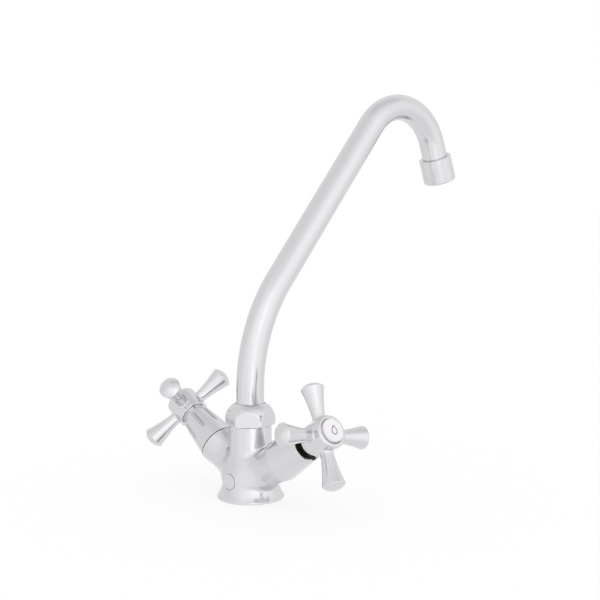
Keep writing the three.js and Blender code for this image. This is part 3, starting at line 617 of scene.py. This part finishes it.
housing = turned_ring("outlet_housing", [
    (HOUSING["mouth"], 0, HOUSING["mouth_edge"]), (HOUSING["radius"], 0, HOUSING["edge"]),
    (HOUSING["radius"], HOUSING["length"], HOUSING["top_edge"]),
    (inside, HOUSING["length"], UPPER_LIP["edge"]), (inside, lip_top),
    (UPPER_LIP["radius"], lip_top, UPPER_LIP["edge"]), (UPPER_LIP["radius"], lip_bottom),
    (inside, lip_bottom), (inside, HOUSING["ledge"]), (HOUSING["pocket"], HOUSING["ledge"]),
    (HOUSING["pocket"], HOUSING["lip"]), (HOUSING["mouth"], HOUSING["lip"]),
], outlet)

# %% [markdown]
# ## The valves' sleeves and guide rings
# A sleeve is a thin brass cone that slides over the headwork, flush with the body's arm. Its
# mouth is closed by a black nylon ring, which shows when the handle stands out. Four lugs of
# the ring sit in four slots inside the sleeve's rim, which leave a thin wall outside them. In
# the ring's grid a column is doubled at each side of a lug, once at the ring's radius and once
# at the lug's.

# %% Sleeves
SLEEVE = {
    "base": 14.3, "base_edge": 0.15, "end": 10.8, "end_edge": 0.45, "wall": 1.3, "bore_edge": 0.25,
}
SEAM = {"hot": 0.08, "cold": 0.6}  # between body and sleeve: the cold one shows, the hot one hardly
SLOT = {  # wall is what it leaves outside it, and inward how far its cutter starts in the bore
    "width": 3.0, "depth": 2.0, "turned": 6.0, "wall": 0.3, "inward": 0.4,
}


def block(name, width, depth, low, high, where):
    """A closed box along a frame's X, standing on its far side from the axis."""
    near, far = depth
    corners = [(near, -width / 2), (far, -width / 2), (far, width / 2), (near, width / 2)]
    square = np.array([[(x, y, z) for x, y in corners] for z in (low, high)])
    middle = np.array([[((near + far) / 2, 0, z)] * 4 for z in (low, high)])
    return sewn(name, [placed(np.concatenate([middle[:1], square, middle[1:]]), where)])


def sleeve_piece(side):
    """The cone, with slots cut into its rim."""
    _, high, _ = span(f"{side}_sleeve", valves[side])
    low = mouth + SEAM[side]
    base, end, wall = SLEEVE["base"], SLEEVE["end"], SLEEVE["wall"]
    piece = turned_ring(f"{side}_valve_sleeve", [
        (base - wall, low), (base, low, SLEEVE["base_edge"]),
        (end, high, SLEEVE["end_edge"]), (end - wall, high, SLEEVE["bore_edge"]),
    ], valves[side])
    reach = (end - wall - SLOT["inward"], end - SLOT["wall"])
    slots = [
        block(f"slot_{i}", SLOT["width"], reach, high - SLOT["depth"], high + OUTSIDE,
              turned_by(valves[side], SLOT["turned"] + 90 * i))
        for i in range(4)
    ]
    return drilled(piece, slots)


sleeves = {side: sleeve_piece(side) for side in SIDES}

# %% Guide rings
GUIDE = {"radius": 9.2, "bore": 7.3, "stem": 4.3, "skirt": 4.5, "cap": 3.0, "edge": 0.15}
LUG = {"gap": 0.2, "short": 0.5}  # beside it and below it, and from its end to the sleeve's outside


def guide_piece(side):
    """The ring with its lugs. Outside a lug the lug's rows fall together with the ring's."""
    _, top, _ = span(f"{side}_guide_ring", valves[side])
    _, sleeve_top, _ = span(f"{side}_sleeve", valves[side])
    radius, bore, stem, edge = (GUIDE[key] for key in ("radius", "bore", "stem", "edge"))
    floor = top - GUIDE["cap"]
    bottom = floor - GUIDE["skirt"]
    lug_bottom = sleeve_top - SLOT["depth"] + LUG["gap"]
    half = math.asin((SLOT["width"] / 2 - LUG["gap"]) / radius)
    quarter = np.pi / 2
    plain = np.linspace(half, quarter - half, 25)
    lug = np.linspace(quarter - half, quarter + half, 9)
    angles = np.concatenate([np.concatenate([plain, lug]) + i * quarter for i in range(4)])
    angles += math.radians(SLOT["turned"])
    on_lug = np.tile(np.concatenate([0 * plain, 0 * lug + 1]), 4)
    rows = [  # radius, height, and whether the lug's reach is added
        (bore, bottom, 0), (radius, bottom, 0), (radius, lug_bottom, 0), (radius, lug_bottom, 1),
        (radius, top - edge, 1), (radius - edge, top, 1), (stem, top, 0), (stem, floor, 0),
        (bore, floor, 0), (bore, bottom, 0),
    ]
    across, height, with_lug = np.array(rows, float).T
    lug_reach = on_lug * (SLEEVE["end"] - LUG["short"] - radius)
    grid = (across[:, None] + with_lug[:, None] * lug_reach)[..., None] * ring_directions(angles)
    return sewn(f"{side}_black_guide_ring", [placed(grid + height[:, None, None] * UP, valves[side])])


guides = {side: guide_piece(side) for side in SIDES}

# %% [markdown]
# ## The cross handles
# Hub and four trumpet arms are one casting, so the distance formula makes it too. A subdivision
# surface could be pulled into this form, but its arms wouldn't stay round. The centre is where
# the arms' axes cross. The hub is a short barrel with a narrower skirt behind it and a recess in
# front, whose mouth narrows a little. The arms widen slowly at first and then quickly, and end
# in a low dome.

# %% Cross handles: the distance to their surface
HUB = {
    "plane": 12.8, "barrel": 11.2, "front": 9.7, "edge": 1.7, "back": 8.8, "back_edge": 1.2,
    "skirt": 8.4, "skirt_edge": 0.35, "cavity": 6.9, "cavity_edge": 0.2, "cavity_depth": 6.8,
    "lip": 8.6, "lip_edge": 0.35, "recess": 8.1, "recess_edge": 0.2, "narrowing": 1.0,
    "recess_depth": 3.9, "screw": 4.5, "screw_depth": 2.7, "hole": 2.6, "web": 1.7, "socket": 4.3,
}
TRUMPET = {
    "root": 4.1, "tip": 7.85, "start": 9.5, "reach": 33.0, "power": 1.6, "edge": 0.3,
    "dome": 3.4, "dome_power": 2.4,
}
HANDLE_FILLET = 3.0
branch_start = 15.0  # where the turned part of an arm takes over
BEARINGS = (0, 90, 180, 270)
CROSS = globe(BEARINGS, [0])[0]


def trumpet_radius(distance):
    """Root radius plus a power of the distance from the hub."""
    share = np.clip((distance - TRUMPET["start"]) / (TRUMPET["reach"] - TRUMPET["start"]), 0, 1)
    return TRUMPET["root"] + (TRUMPET["tip"] - TRUMPET["root"]) * share ** TRUMPET["power"]


near = np.linspace(branch_start, 0, 200)
trumpet_angle = np.degrees(np.arctan2(trumpet_radius(near), near))
trumpet_reach = np.hypot(trumpet_radius(near), near)


def handle_reach(directions):
    """Soft maximum of the distances to the barrel and to the four arms."""
    flat = np.hypot(directions[..., 0], directions[..., 1])
    reaches = [HUB["barrel"] / flat]
    for axis in CROSS:
        reaches.append(np.interp(angle_from(directions, axis), trumpet_angle, trumpet_reach))
    return soft_max(reaches, HANDLE_FILLET)


# %% Cross handles: outlines of an arm and of the hub


def trumpet_outline():
    """Radius and distance along an arm: its flank, its rounded edge and its dome, which is lower
    than the middle by a power of the radius."""
    reach, tip, edge = TRUMPET["reach"], TRUMPET["tip"], TRUMPET["edge"]
    flank = np.linspace(branch_start, reach - edge, 40)[1:]
    across = np.linspace(tip - edge, 0, 20)
    top = reach + TRUMPET["dome"] * (1 - (across / tip) ** TRUMPET["dome_power"])
    dome = np.stack([across, top], -1)
    corner = rounded([(trumpet_radius(flank[-1]), flank[-1]), (tip, reach, edge), dome[0]])
    return np.vstack([np.stack([trumpet_radius(flank), flank], -1), corner[1:-1], dome])


def hub_outline():
    """From the front edge through recess, screw hole and cavity to the back edge. The first
    and the last corner lie on the barrel and only guide the fillets beside them."""
    front, back, behind = HUB["front"], -HUB["plane"], -HUB["back"]
    recess_floor = front - HUB["recess_depth"]
    screw_floor = recess_floor - HUB["screw_depth"]
    web = screw_floor - HUB["web"]
    cavity_floor = back + HUB["cavity_depth"]
    return rounded([
        (HUB["barrel"], front - HUB["edge"]), (HUB["barrel"], front, HUB["edge"]),
        (HUB["lip"], front, HUB["lip_edge"]),
        (HUB["recess"], front - HUB["narrowing"], HUB["recess_edge"]), (HUB["recess"], recess_floor),
        (HUB["screw"], recess_floor), (HUB["screw"], screw_floor), (HUB["hole"], screw_floor),
        (HUB["hole"], web), (HUB["socket"], web), (HUB["socket"], cavity_floor),
        (HUB["cavity"], cavity_floor), (HUB["cavity"], back, HUB["cavity_edge"]),
        (HUB["skirt"], back, HUB["skirt_edge"]), (HUB["skirt"], behind),
        (HUB["barrel"], behind, HUB["back_edge"]), (HUB["barrel"], HUB["back_edge"] + behind),
    ])[1:-1]


# %% Cross handles: the casting


def handle_grids():
    """The whole casting round the origin, with the valve's axis along Z."""
    high = math.degrees(math.atan2(HUB["front"] - HUB["edge"], HUB["barrel"]))
    low = -math.degrees(math.atan2(HUB["back"] - HUB["back_edge"], HUB["barrel"]))
    window = np.linspace(low, high, 31)
    opening = math.degrees(math.atan2(trumpet_radius(branch_start), branch_start))
    grids, arm_outline = [], trumpet_outline()
    for middle, axis in zip(BEARINGS, CROSS):
        edge = window_edge(middle, half_width=45, latitudes=window, columns=30)
        rings, around = branch_rings(edge, axis, opening, count=30)
        skin = rings * handle_reach(rings)[..., None]
        grids += [skin, np.concatenate([skin[-1:], carried_on(arm_outline, axis, around)])]
    ends = [globe(WHOLE_TURN, [latitude]) for latitude in (high, low)]
    front_end, back_end = [end * handle_reach(end)[..., None] for end in ends]
    rows = turned(hub_outline(), np.radians(WHOLE_TURN))
    grids.append(np.concatenate([front_end, rows, back_end]))
    return grids


def handle_frame(side):
    """The handle's own frame: its origin where the arms cross, X along one arm."""
    low, _, _ = span(f"{side}_handle", valves[side])
    local = (corners_of(f"{side}_handle") - valves[side][0]) @ valves[side][1].T
    x, y, _ = local[np.hypot(local[:, 0], local[:, 1]).argmax()]
    turn = (math.degrees(math.atan2(y, x)) + 45) % 90 - 45  # any of the four arms will do
    return turned_by(valves[side], turn, low + HUB["plane"])


cross_frames = {side: handle_frame(side) for side in SIDES}
handles = {
    side: sewn(f"{side}_cross_handle", [placed(grid, cross_frames[side]) for grid in handle_grids()])
    for side in SIDES
}

# %% [markdown]
# ## The index buttons
# A moulded disc snaps into the front of each hub. It stands out of the hub and is slightly
# crowned, and the dark line round it is the gap to the hub's rim. Its mark here is a plain
# water drop, drawn as a raised line that follows the crown.

# %% Index buttons
BUTTON = {"radius": 7.85, "crown": 0.45, "edge": 0.5, "depth": 5.3, "proud": 1.7, "side": 2.0}
button_rim = HUB["front"] + BUTTON["proud"]


def crown_at(radius):
    """Height of the button's face: a parabola over its radius."""
    return button_rim + BUTTON["crown"] * (1 - (radius / BUTTON["radius"]) ** 2)


def button_piece(side):
    """A disc turned from its back over its side and its rounded edge to the crown."""
    rim, radius = BUTTON["radius"], np.linspace(BUTTON["radius"] - BUTTON["edge"], 0, 16)
    back = button_rim - BUTTON["depth"]
    face = np.stack([radius, crown_at(radius)], -1)
    edge = rounded([(rim, button_rim - BUTTON["side"]), (rim, button_rim, BUTTON["edge"]), face[0]])
    outline = np.vstack([[(0, back), (rim, back)], edge[:-1], face])
    return sewn(f"{side}_button", [placed(turned(outline), cross_frames[side])])


buttons = {side: button_piece(side) for side in SIDES}

# %% Index buttons: their marks
DROP = {"tall": 2.9, "wide": 2.6, "half_line": 0.3, "raised": 0.05, "sunk": 0.1}


def drop_piece(side):
    """A raised line along a teardrop: across is the sine of an angle times the sine of its half,
    and up is the angle's cosine. Near the tip the line's inside ends at the middle."""
    angle = np.linspace(0, 2 * np.pi, 160, endpoint=False)
    across = DROP["wide"] * np.sin(angle) * np.sin(angle / 2)
    middle = np.stack([across, DROP["tall"] * np.cos(angle)], -1)
    hand = np.where(angle < np.pi, 1.0, -1.0)
    tangent = np.roll(middle, -1, axis=0) - np.roll(middle, 1, axis=0)
    normal = np.stack([tangent[:, 1], -tangent[:, 0]], -1)
    normal = normal / np.linalg.norm(tangent, axis=1)[:, None]
    low, high = -DROP["sunk"], DROP["raised"]
    rows = []
    for offset, lift in ((-1, low), (-1, high), (1, high), (1, low), (-1, low)):
        flat = middle + offset * DROP["half_line"] * normal
        flat[:, 0] = hand * np.maximum(hand * flat[:, 0], 0)
        height = crown_at(np.hypot(flat[:, 0], flat[:, 1])) + lift
        rows.append(np.column_stack([flat, height]))
    return sewn(f"{side}_drop_mark", [placed(np.array(rows), cross_frames[side])])


marks = {side: drop_piece(side) for side in SIDES}

# %% [markdown]
# ## Materials
# A faucet shows few materials, so each has to be right. A material is a small graph of nodes
# that starts empty: `add` makes one node with its settings and joins its sockets. Colours are
# written as they look on a screen and turned to the linear values that light works with. Clouds
# of a Noise Texture are about as wide as one divided by its Scale, so `clouds` turns a width in
# millimetres into a Scale.

# %% Helpers for materials


def linear(hex_colour):
    """Screen colour to linear light: a power curve with a short straight start."""
    screen = np.array([int(hex_colour[i : i + 2], 16) for i in (1, 3, 5)]) / 255
    light = np.where(screen <= 0.04045, screen / 12.92, ((screen + 0.055) / 1.055) ** 2.4)
    return (*light.tolist(), 1.0)


def clouds(width_mm):
    """A noise's Scale, from the width of its clouds."""
    return 1 / (width_mm * MM)


def gloss_between(gloss, least, most):
    """Settings that stretch a noise's middle half to run from the least to the most of a gloss,
    both given as shares of it."""
    return {"From Min": 0.25, "From Max": 0.75, "To Min": gloss * least, "To Max": gloss * most}


def blank(name):
    """A material without nodes."""
    material = bpy.data.materials.new(name)
    material.use_nodes = True
    material.node_tree.nodes.clear()
    return material


def add(owner, kind, settings=None, links=None):
    """Adds one node to a material or the world. Settings are its fields or its sockets' values,
    and links join its sockets to outputs. A socket goes by its name, or by its number where
    several share a name."""
    node = owner.node_tree.nodes.new(kind)
    for name, value in (settings or {}).items():
        if isinstance(name, int) or name in node.inputs:
            node.inputs[name].default_value = value
        else:
            setattr(node, name, value)
    for name, source in (links or {}).items():
        owner.node_tree.links.new(source, node.inputs[name])
    return node


# %% [markdown]
# ## Chrome on four kinds of brass surface
# Bright chrome is a film under a thousandth of a millimetre thick over nickel, so what the eye
# sees is the polish of the brass below. The body is a casting that a wheel smooths and leaves
# faintly wavy and soft. The small crosses take a sharper polish. A drawn tube has hardly any
# waves but a soft gloss, and a turned piece is nearly perfect. All of them carry the faint haze
# of hands and water, in clouds over a centimetre wide, which only widens the gloss a little.
# The real waves are a few hundredths of a millimetre deep. Here they are up to 0.1 mm deep, so
# that they show.

# %% Chrome plate
CHROME_COLOUR = "#D4D3D6"
HAZE_MM = 14


def chrome(name, waviness_mm, wave_mm, gloss):
    """Chromium: cool near-white metal. Clouds widen the gloss, and long waves bend it."""
    material = blank(name)
    place = add(material, "ShaderNodeTexCoord").outputs["Object"]
    haze = add(material, "ShaderNodeTexNoise",
               {"Scale": clouds(HAZE_MM), "Detail": 4.0, "Roughness": 0.6}, {"Vector": place})
    spread = add(material, "ShaderNodeMapRange",
                 gloss_between(gloss, 0.75, 1.3), {"Value": haze.outputs["Fac"]})
    waves = add(material, "ShaderNodeTexNoise",
                {"Scale": clouds(wave_mm), "Detail": 1.0}, {"Vector": place})
    relief = add(material, "ShaderNodeBump",
                 {"Distance": waviness_mm * MM}, {"Height": waves.outputs["Fac"]})
    shader = add(material, "ShaderNodeBsdfPrincipled",
                 {"Base Color": linear(CHROME_COLOUR), "Metallic": 1.0, "Roughness": gloss},
                 {"Roughness": spread.outputs["Result"], "Normal": relief.outputs["Normal"]})
    add(material, "ShaderNodeOutputMaterial", None, {"Surface": shader.outputs["BSDF"]})
    return material


# Slow waves a finger's width apart make the reflections on the body swim, and its gloss is soft.
body_chrome = chrome("chrome_plate_on_wheel_polished_casting", 0.10, 22, 0.19)
# The crosses mirror sharply, and their waves are shorter, as a smaller wheel leaves them.
handle_chrome = chrome("chrome_plate_on_small_polished_casting", 0.06, 12, 0.05)
# The tube and the outlet draw the room out into long soft bands.
tube_chrome = chrome("chrome_plate_on_drawn_brass_tube", 0.05, 40, 0.20)
# Nut, plug and sleeves reflect true, with edges that stay readable.
turned_chrome = chrome("chrome_plate_on_turned_brass", 0.02, 15, 0.10)

# %% [markdown]
# ## Bare metals, plastics and seals
# Inside the valves the brass and the steel are bare, with the rings that a turning tool leaves
# 0.1 to 0.2 mm apart. Plastic and rubber take the fine grain of their mould, under a tenth of a
# millimetre. Both are drawn several times coarser than that, so that they show at all.

# %% Bare metals
RING_DEPTH_MM = 0.02
SIDEWAYS = (0.05, 0.05, 1.0)  # draws clouds out twenty times across the height, into bands


def machined(name, colour, gloss, pitch_mm):
    """Bare turned metal: the tool's rings, here as bands along the piece's height."""
    material = blank(name)
    place = add(material, "ShaderNodeTexCoord").outputs["Object"]
    drawn_out = add(material, "ShaderNodeMapping", {"Scale": SIDEWAYS}, {"Vector": place})
    rings = add(material, "ShaderNodeTexNoise",
                {"Scale": clouds(pitch_mm), "Detail": 3.0}, {"Vector": drawn_out.outputs["Vector"]})
    spread = add(material, "ShaderNodeMapRange",
                 gloss_between(gloss, 0.7, 1.4), {"Value": rings.outputs["Fac"]})
    relief = add(material, "ShaderNodeBump",
                 {"Distance": RING_DEPTH_MM * MM}, {"Height": rings.outputs["Fac"]})
    shader = add(material, "ShaderNodeBsdfPrincipled",
                 {"Base Color": linear(colour), "Metallic": 1.0, "Roughness": gloss},
                 {"Roughness": spread.outputs["Result"], "Normal": relief.outputs["Normal"]})
    add(material, "ShaderNodeOutputMaterial", None, {"Surface": shader.outputs["BSDF"]})
    return material


# Warm yellow behind the chrome, its rings stretching each highlight across them.
brass = machined("machined_brass", "#D8B878", 0.28, 0.4)
# Cooler and greyer than chrome, with the same rings.
steel = machined("machined_stainless_steel", "#C4C4C2", 0.25, 0.4)

# %% Plastics and seals
CLOUDED_MM = 9


def moulded(name, colour, gloss, grain_mm, relief_mm, settings):
    """Moulded plastic or rubber: the mould's fine grain, with slight clouds in its gloss."""
    material = blank(name)
    place = add(material, "ShaderNodeTexCoord").outputs["Object"]
    haze = add(material, "ShaderNodeTexNoise", {"Scale": clouds(CLOUDED_MM)}, {"Vector": place})
    spread = add(material, "ShaderNodeMapRange",
                 gloss_between(gloss, 0.85, 1.2), {"Value": haze.outputs["Fac"]})
    grain = add(material, "ShaderNodeTexNoise", {"Scale": clouds(grain_mm)}, {"Vector": place})
    relief = add(material, "ShaderNodeBump",
                 {"Distance": relief_mm * MM}, {"Height": grain.outputs["Fac"]})
    shader = add(material, "ShaderNodeBsdfPrincipled",
                 {"Base Color": linear(colour), "Roughness": gloss, **settings},
                 {"Roughness": spread.outputs["Result"], "Normal": relief.outputs["Normal"]})
    add(material, "ShaderNodeOutputMaterial", None, {"Surface": shader.outputs["BSDF"]})
    return material


# Matt black with a broad weak highlight.
rubber = moulded("moulded_nitrile_rubber", "#1B1B1C", 0.6, 0.6, 0.01, {"IOR": 1.52})
# As black, but with a satin edge of light where the ring turns away.
black_nylon = moulded("moulded_black_nylon", "#121213", 0.42, 0.5, 0.01, {"IOR": 1.53})
# Milky white: a little light enters it, so its edges never go quite dark.
white_nylon = moulded("moulded_white_acetal", "#D9D8D2", 0.38, 0.5, 0.01,
                      {"IOR": 1.48, "Subsurface Weight": 0.1})
# Dull brownish red, with hardly any highlight.
fibre = moulded("pressed_red_fibre", "#7A3A2C", 0.75, 0.8, 0.03, {"IOR": 1.5})
# Gloss white, with a clear small highlight on the crown.
index_white = moulded("gloss_white_index_plastic", "#F7F5F7", 0.22, 1.2, 0.004, {"IOR": 1.5})
# A printed line: mid grey and less glossy than the plastic below it.
mark_grey = moulded("grey_index_ink", "#74777B", 0.4, 0.8, 0.003, {"IOR": 1.5})
FINISHES = {
    "chrome": turned_chrome, "brass": brass, "steel": steel, "rubber": rubber, "fibre": fibre,
    "black_nylon": black_nylon, "nylon": white_nylon, "index_white": index_white,
}
print("finishes:", ", ".join(material.name for material in bpy.data.materials))

# %% [markdown]
# ## Dressing the skeleton
# Every new piece rides on the body that its CAD node belongs to, replaces that node and takes one
# material. The nodes inside keep their CAD shapes and take the finish of their slot.

# %% Pieces onto bodies
SLOTS = {row["node"]: row["material_slot"] for row in frame["record"]["subparts"]}
BODIES = frame["record"]["behaviour"]["bodies"]
HOME = {node: body_name for body_name, nodes in BODIES.items() for node in nodes}


def dress(piece, node, material, replaces=True):
    """Rides on and replaces one node, with one material."""
    piece.data.materials.clear()
    piece.data.materials.append(material)
    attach(piece, HOME[node])
    if replaces:
        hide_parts(node)


for node, held in frame["nodes"].items():
    held.data.materials.clear()
    held.data.materials.append(FINISHES[SLOTS[node]])
dress(body, "body", body_chrome)
dress(plug, "rear_plug", turned_chrome)
dress(foot_seal, "foot_seal", rubber)
dress(spout_nut, "spout_nut", turned_chrome)
dress(spout_tube, "spout_tube", tube_chrome)
dress(housing, "aerator_housing", tube_chrome)
for side in SIDES:
    dress(sleeves[side], f"{side}_sleeve", turned_chrome)
    dress(guides[side], f"{side}_guide_ring", black_nylon)
    dress(handles[side], f"{side}_handle", handle_chrome)
    dress(buttons[side], f"{side}_index_button", index_white)
    dress(marks[side], f"{side}_index_button", mark_grey, replaces=False)

# %% [markdown]
# ## The studio
# Chrome shows what stands round it and little else, so the studio is most of its look. This one
# is a white room with broad soft lights behind the camera and at its right, a little grey
# overhead and behind the faucet. Camera, metal and clear parts all see its white, which the
# Light Path node picks out, and metal and clear parts see the soft patches on it as well.
#
# The floor is the same white with a small share of real diffuse light, so it keeps a faint
# shadow. Reflections look through it to the white world, and so does a view from below.

# %% Which rays see the background


def seen_rays(owner):
    """Two outputs: 1 for rays from the camera, off glossy surfaces and through clear ones, and
    1 for rays from the camera alone."""
    path = add(owner, "ShaderNodeLightPath").outputs
    seen = path["Is Camera Ray"]
    for name in ("Is Glossy Ray", "Is Transmission Ray"):
        either = add(owner, "ShaderNodeMath", {"operation": "MAXIMUM"}, {0: seen, 1: path[name]})
        seen = either.outputs["Value"]
    return seen, path["Is Camera Ray"]


# %% Floor
FLOOR_COLOUR = "#F0F0F0"
FLOOR_SHADE = 0.25  # share of the floor's white that a shadow can take
SHADED = (FLOOR_SHADE, FLOOR_SHADE, FLOOR_SHADE, 1)
FLOOR_HALF = 6.0  # metres
FLOOR_DROP = 0.05 * MM  # so that it doesn't share a plane with the foot
floor_points = [
    (x * FLOOR_HALF, y * FLOOR_HALF, -FLOOR_DROP) for x, y in ((-1, -1), (1, -1), (1, 1), (-1, 1))
]
floor_mesh = bpy.data.meshes.new("floor")
floor_mesh.from_pydata(floor_points, [], [(0, 1, 2, 3)])
floor = bpy.data.objects.new("floor", floor_mesh)
bpy.context.scene.collection.objects.link(floor)
paint = blank("pale_studio_floor")
seen, from_camera = seen_rays(paint)
shade = add(paint, "ShaderNodeMix",
            {"data_type": "RGBA", 6: linear(FLOOR_COLOUR), 7: SHADED}, {0: from_camera})
glow = add(paint, "ShaderNodeMath",
           {"operation": "MULTIPLY", 1: 1 - FLOOR_SHADE}, {0: from_camera})
matt = add(paint, "ShaderNodeBsdfPrincipled",
           {"Roughness": 0.9, "Specular IOR Level": 0.0, "Emission Color": (1, 1, 1, 1)},
           {"Base Color": shade.outputs[2], "Emission Strength": glow.outputs["Value"]})
clear = add(paint, "ShaderNodeBsdfTransparent")
reflected = add(paint, "ShaderNodeMath", {"operation": "SUBTRACT"}, {0: seen, 1: from_camera})
from_below = add(paint, "ShaderNodeNewGeometry").outputs["Backfacing"]
open_to = add(paint, "ShaderNodeMath",
              {"operation": "MAXIMUM"}, {0: reflected.outputs["Value"], 1: from_below})
through = add(paint, "ShaderNodeMixShader", None,
              {0: open_to.outputs["Value"], 1: matt.outputs["BSDF"], 2: clear.outputs["BSDF"]})
add(paint, "ShaderNodeOutputMaterial", None, {"Surface": through.outputs["Shader"]})
floor_mesh.materials.append(paint)

# %% [markdown]
# ## The camera
# The photograph was taken from behind the faucet, on the hot valve's side and a little below
# the spout's top. Tube, foot, crosses, nut and outlet each have an outline in it, and place, aim
# and lens were fitted until the model's outlines fell on them.

# %% Camera
CAMERA_PLACE = np.array([-616.9, 534.2, 221.7]) * MM
CAMERA_AIM = np.array([-23.29, -24.73, 136.02]) * MM
FOCAL_LENGTH, SENSOR = 72.72, 36.0
camera_data = bpy.data.cameras.new("camera")
camera_data.lens, camera_data.sensor_width = FOCAL_LENGTH, SENSOR
camera = bpy.data.objects.new("camera", camera_data)
camera.location = CAMERA_PLACE
camera.rotation_euler = Vector(CAMERA_AIM - CAMERA_PLACE).to_track_quat("-Z", "Y").to_euler()
bpy.context.scene.collection.objects.link(camera)
bpy.context.scene.camera = camera
print("the camera stands", round(np.linalg.norm(CAMERA_AIM - CAMERA_PLACE), 3), "m from its aim")

# %% [markdown]
# ## The world
# A lamp would show in chrome as one small bright shape. The photograph's metal shows broad soft
# zones, so the world's brightness depends on the direction instead. Each row of the list adds a
# round patch that fades out at its edge, and the rows were fitted until the zones on the tube,
# the body and the crosses came close to the photograph's. Matt surfaces receive plain white.

# %% The world: brightness by direction
world = bpy.data.worlds.new("studio")
world.use_nodes = True
bpy.context.scene.world = world
world.node_tree.nodes.clear()
LEVEL = 1.0  # what matt surfaces receive
WHITE = (1, 1, 1, 1)
AROUND = [  # azimuth from +X, elevation, half-width in degrees, brightness added to white
    (154, 28, 43, 0.16),
    (115, -5, 42, 0.13),
    (186, 21, 42, 0.14),
    (214, -3, 22, 0.05),
    (152, -14, 12, 0.24),
    (160, 25, 13, 0.12),
    (92, 62, 14, 0.08),
    (186, 75, 34, -0.18),
    (15, 31, 37, -0.05),
    (310, 1, 29, -0.10),
    (8, -14, 14, -0.08),
]


def patch(looking, azimuth, elevation, half_width, brightness):
    """A soft-edged round patch of the sky: a smooth step of the cosine from its middle."""
    facing = add(world, "ShaderNodeVectorMath",
                 {"operation": "DOT_PRODUCT", 1: globe([azimuth], [elevation])[0, 0]}, {0: looking})
    outer, inner = (math.cos(math.radians(half_width * share)) for share in (1.5, 0.5))
    settings = {
        "interpolation_type": "SMOOTHERSTEP", "From Min": outer, "From Max": inner,
        "To Min": 0.0, "To Max": brightness,
    }
    step = add(world, "ShaderNodeMapRange", settings, {"Value": facing.outputs["Value"]})
    return step.outputs["Result"]


direction = add(world, "ShaderNodeTexCoord").outputs["Generated"]
looking = add(world, "ShaderNodeVectorMath", {"operation": "NORMALIZE"}, {0: direction})
pattern = patch(looking.outputs["Vector"], *AROUND[0])
for row in AROUND[1:]:
    one = patch(looking.outputs["Vector"], *row)
    total = add(world, "ShaderNodeMath", {"operation": "ADD"}, {0: one, 1: pattern})
    pattern = total.outputs["Value"]
seen, from_camera = seen_rays(world)
others = add(world, "ShaderNodeMath", {"operation": "SUBTRACT", 0: 1.0}, {1: from_camera})
strength = add(world, "ShaderNodeMath",
               {"operation": "MULTIPLY_ADD", 2: 1.0}, {0: pattern, 1: others.outputs["Value"]})
background = add(world, "ShaderNodeBackground",
                 {"Color": WHITE}, {"Strength": strength.outputs["Value"]})
plain = add(world, "ShaderNodeBackground", {"Color": WHITE, "Strength": LEVEL})
mixed = add(world, "ShaderNodeMixShader", None,
            {0: seen, 1: plain.outputs["Background"], 2: background.outputs["Background"]})
add(world, "ShaderNodeOutputWorld", None, {"Surface": mixed.outputs["Shader"]})
print("the room has", len(AROUND), "soft patches")

# %% View settings and the end
bpy.context.scene.view_settings.view_transform = "Standard"
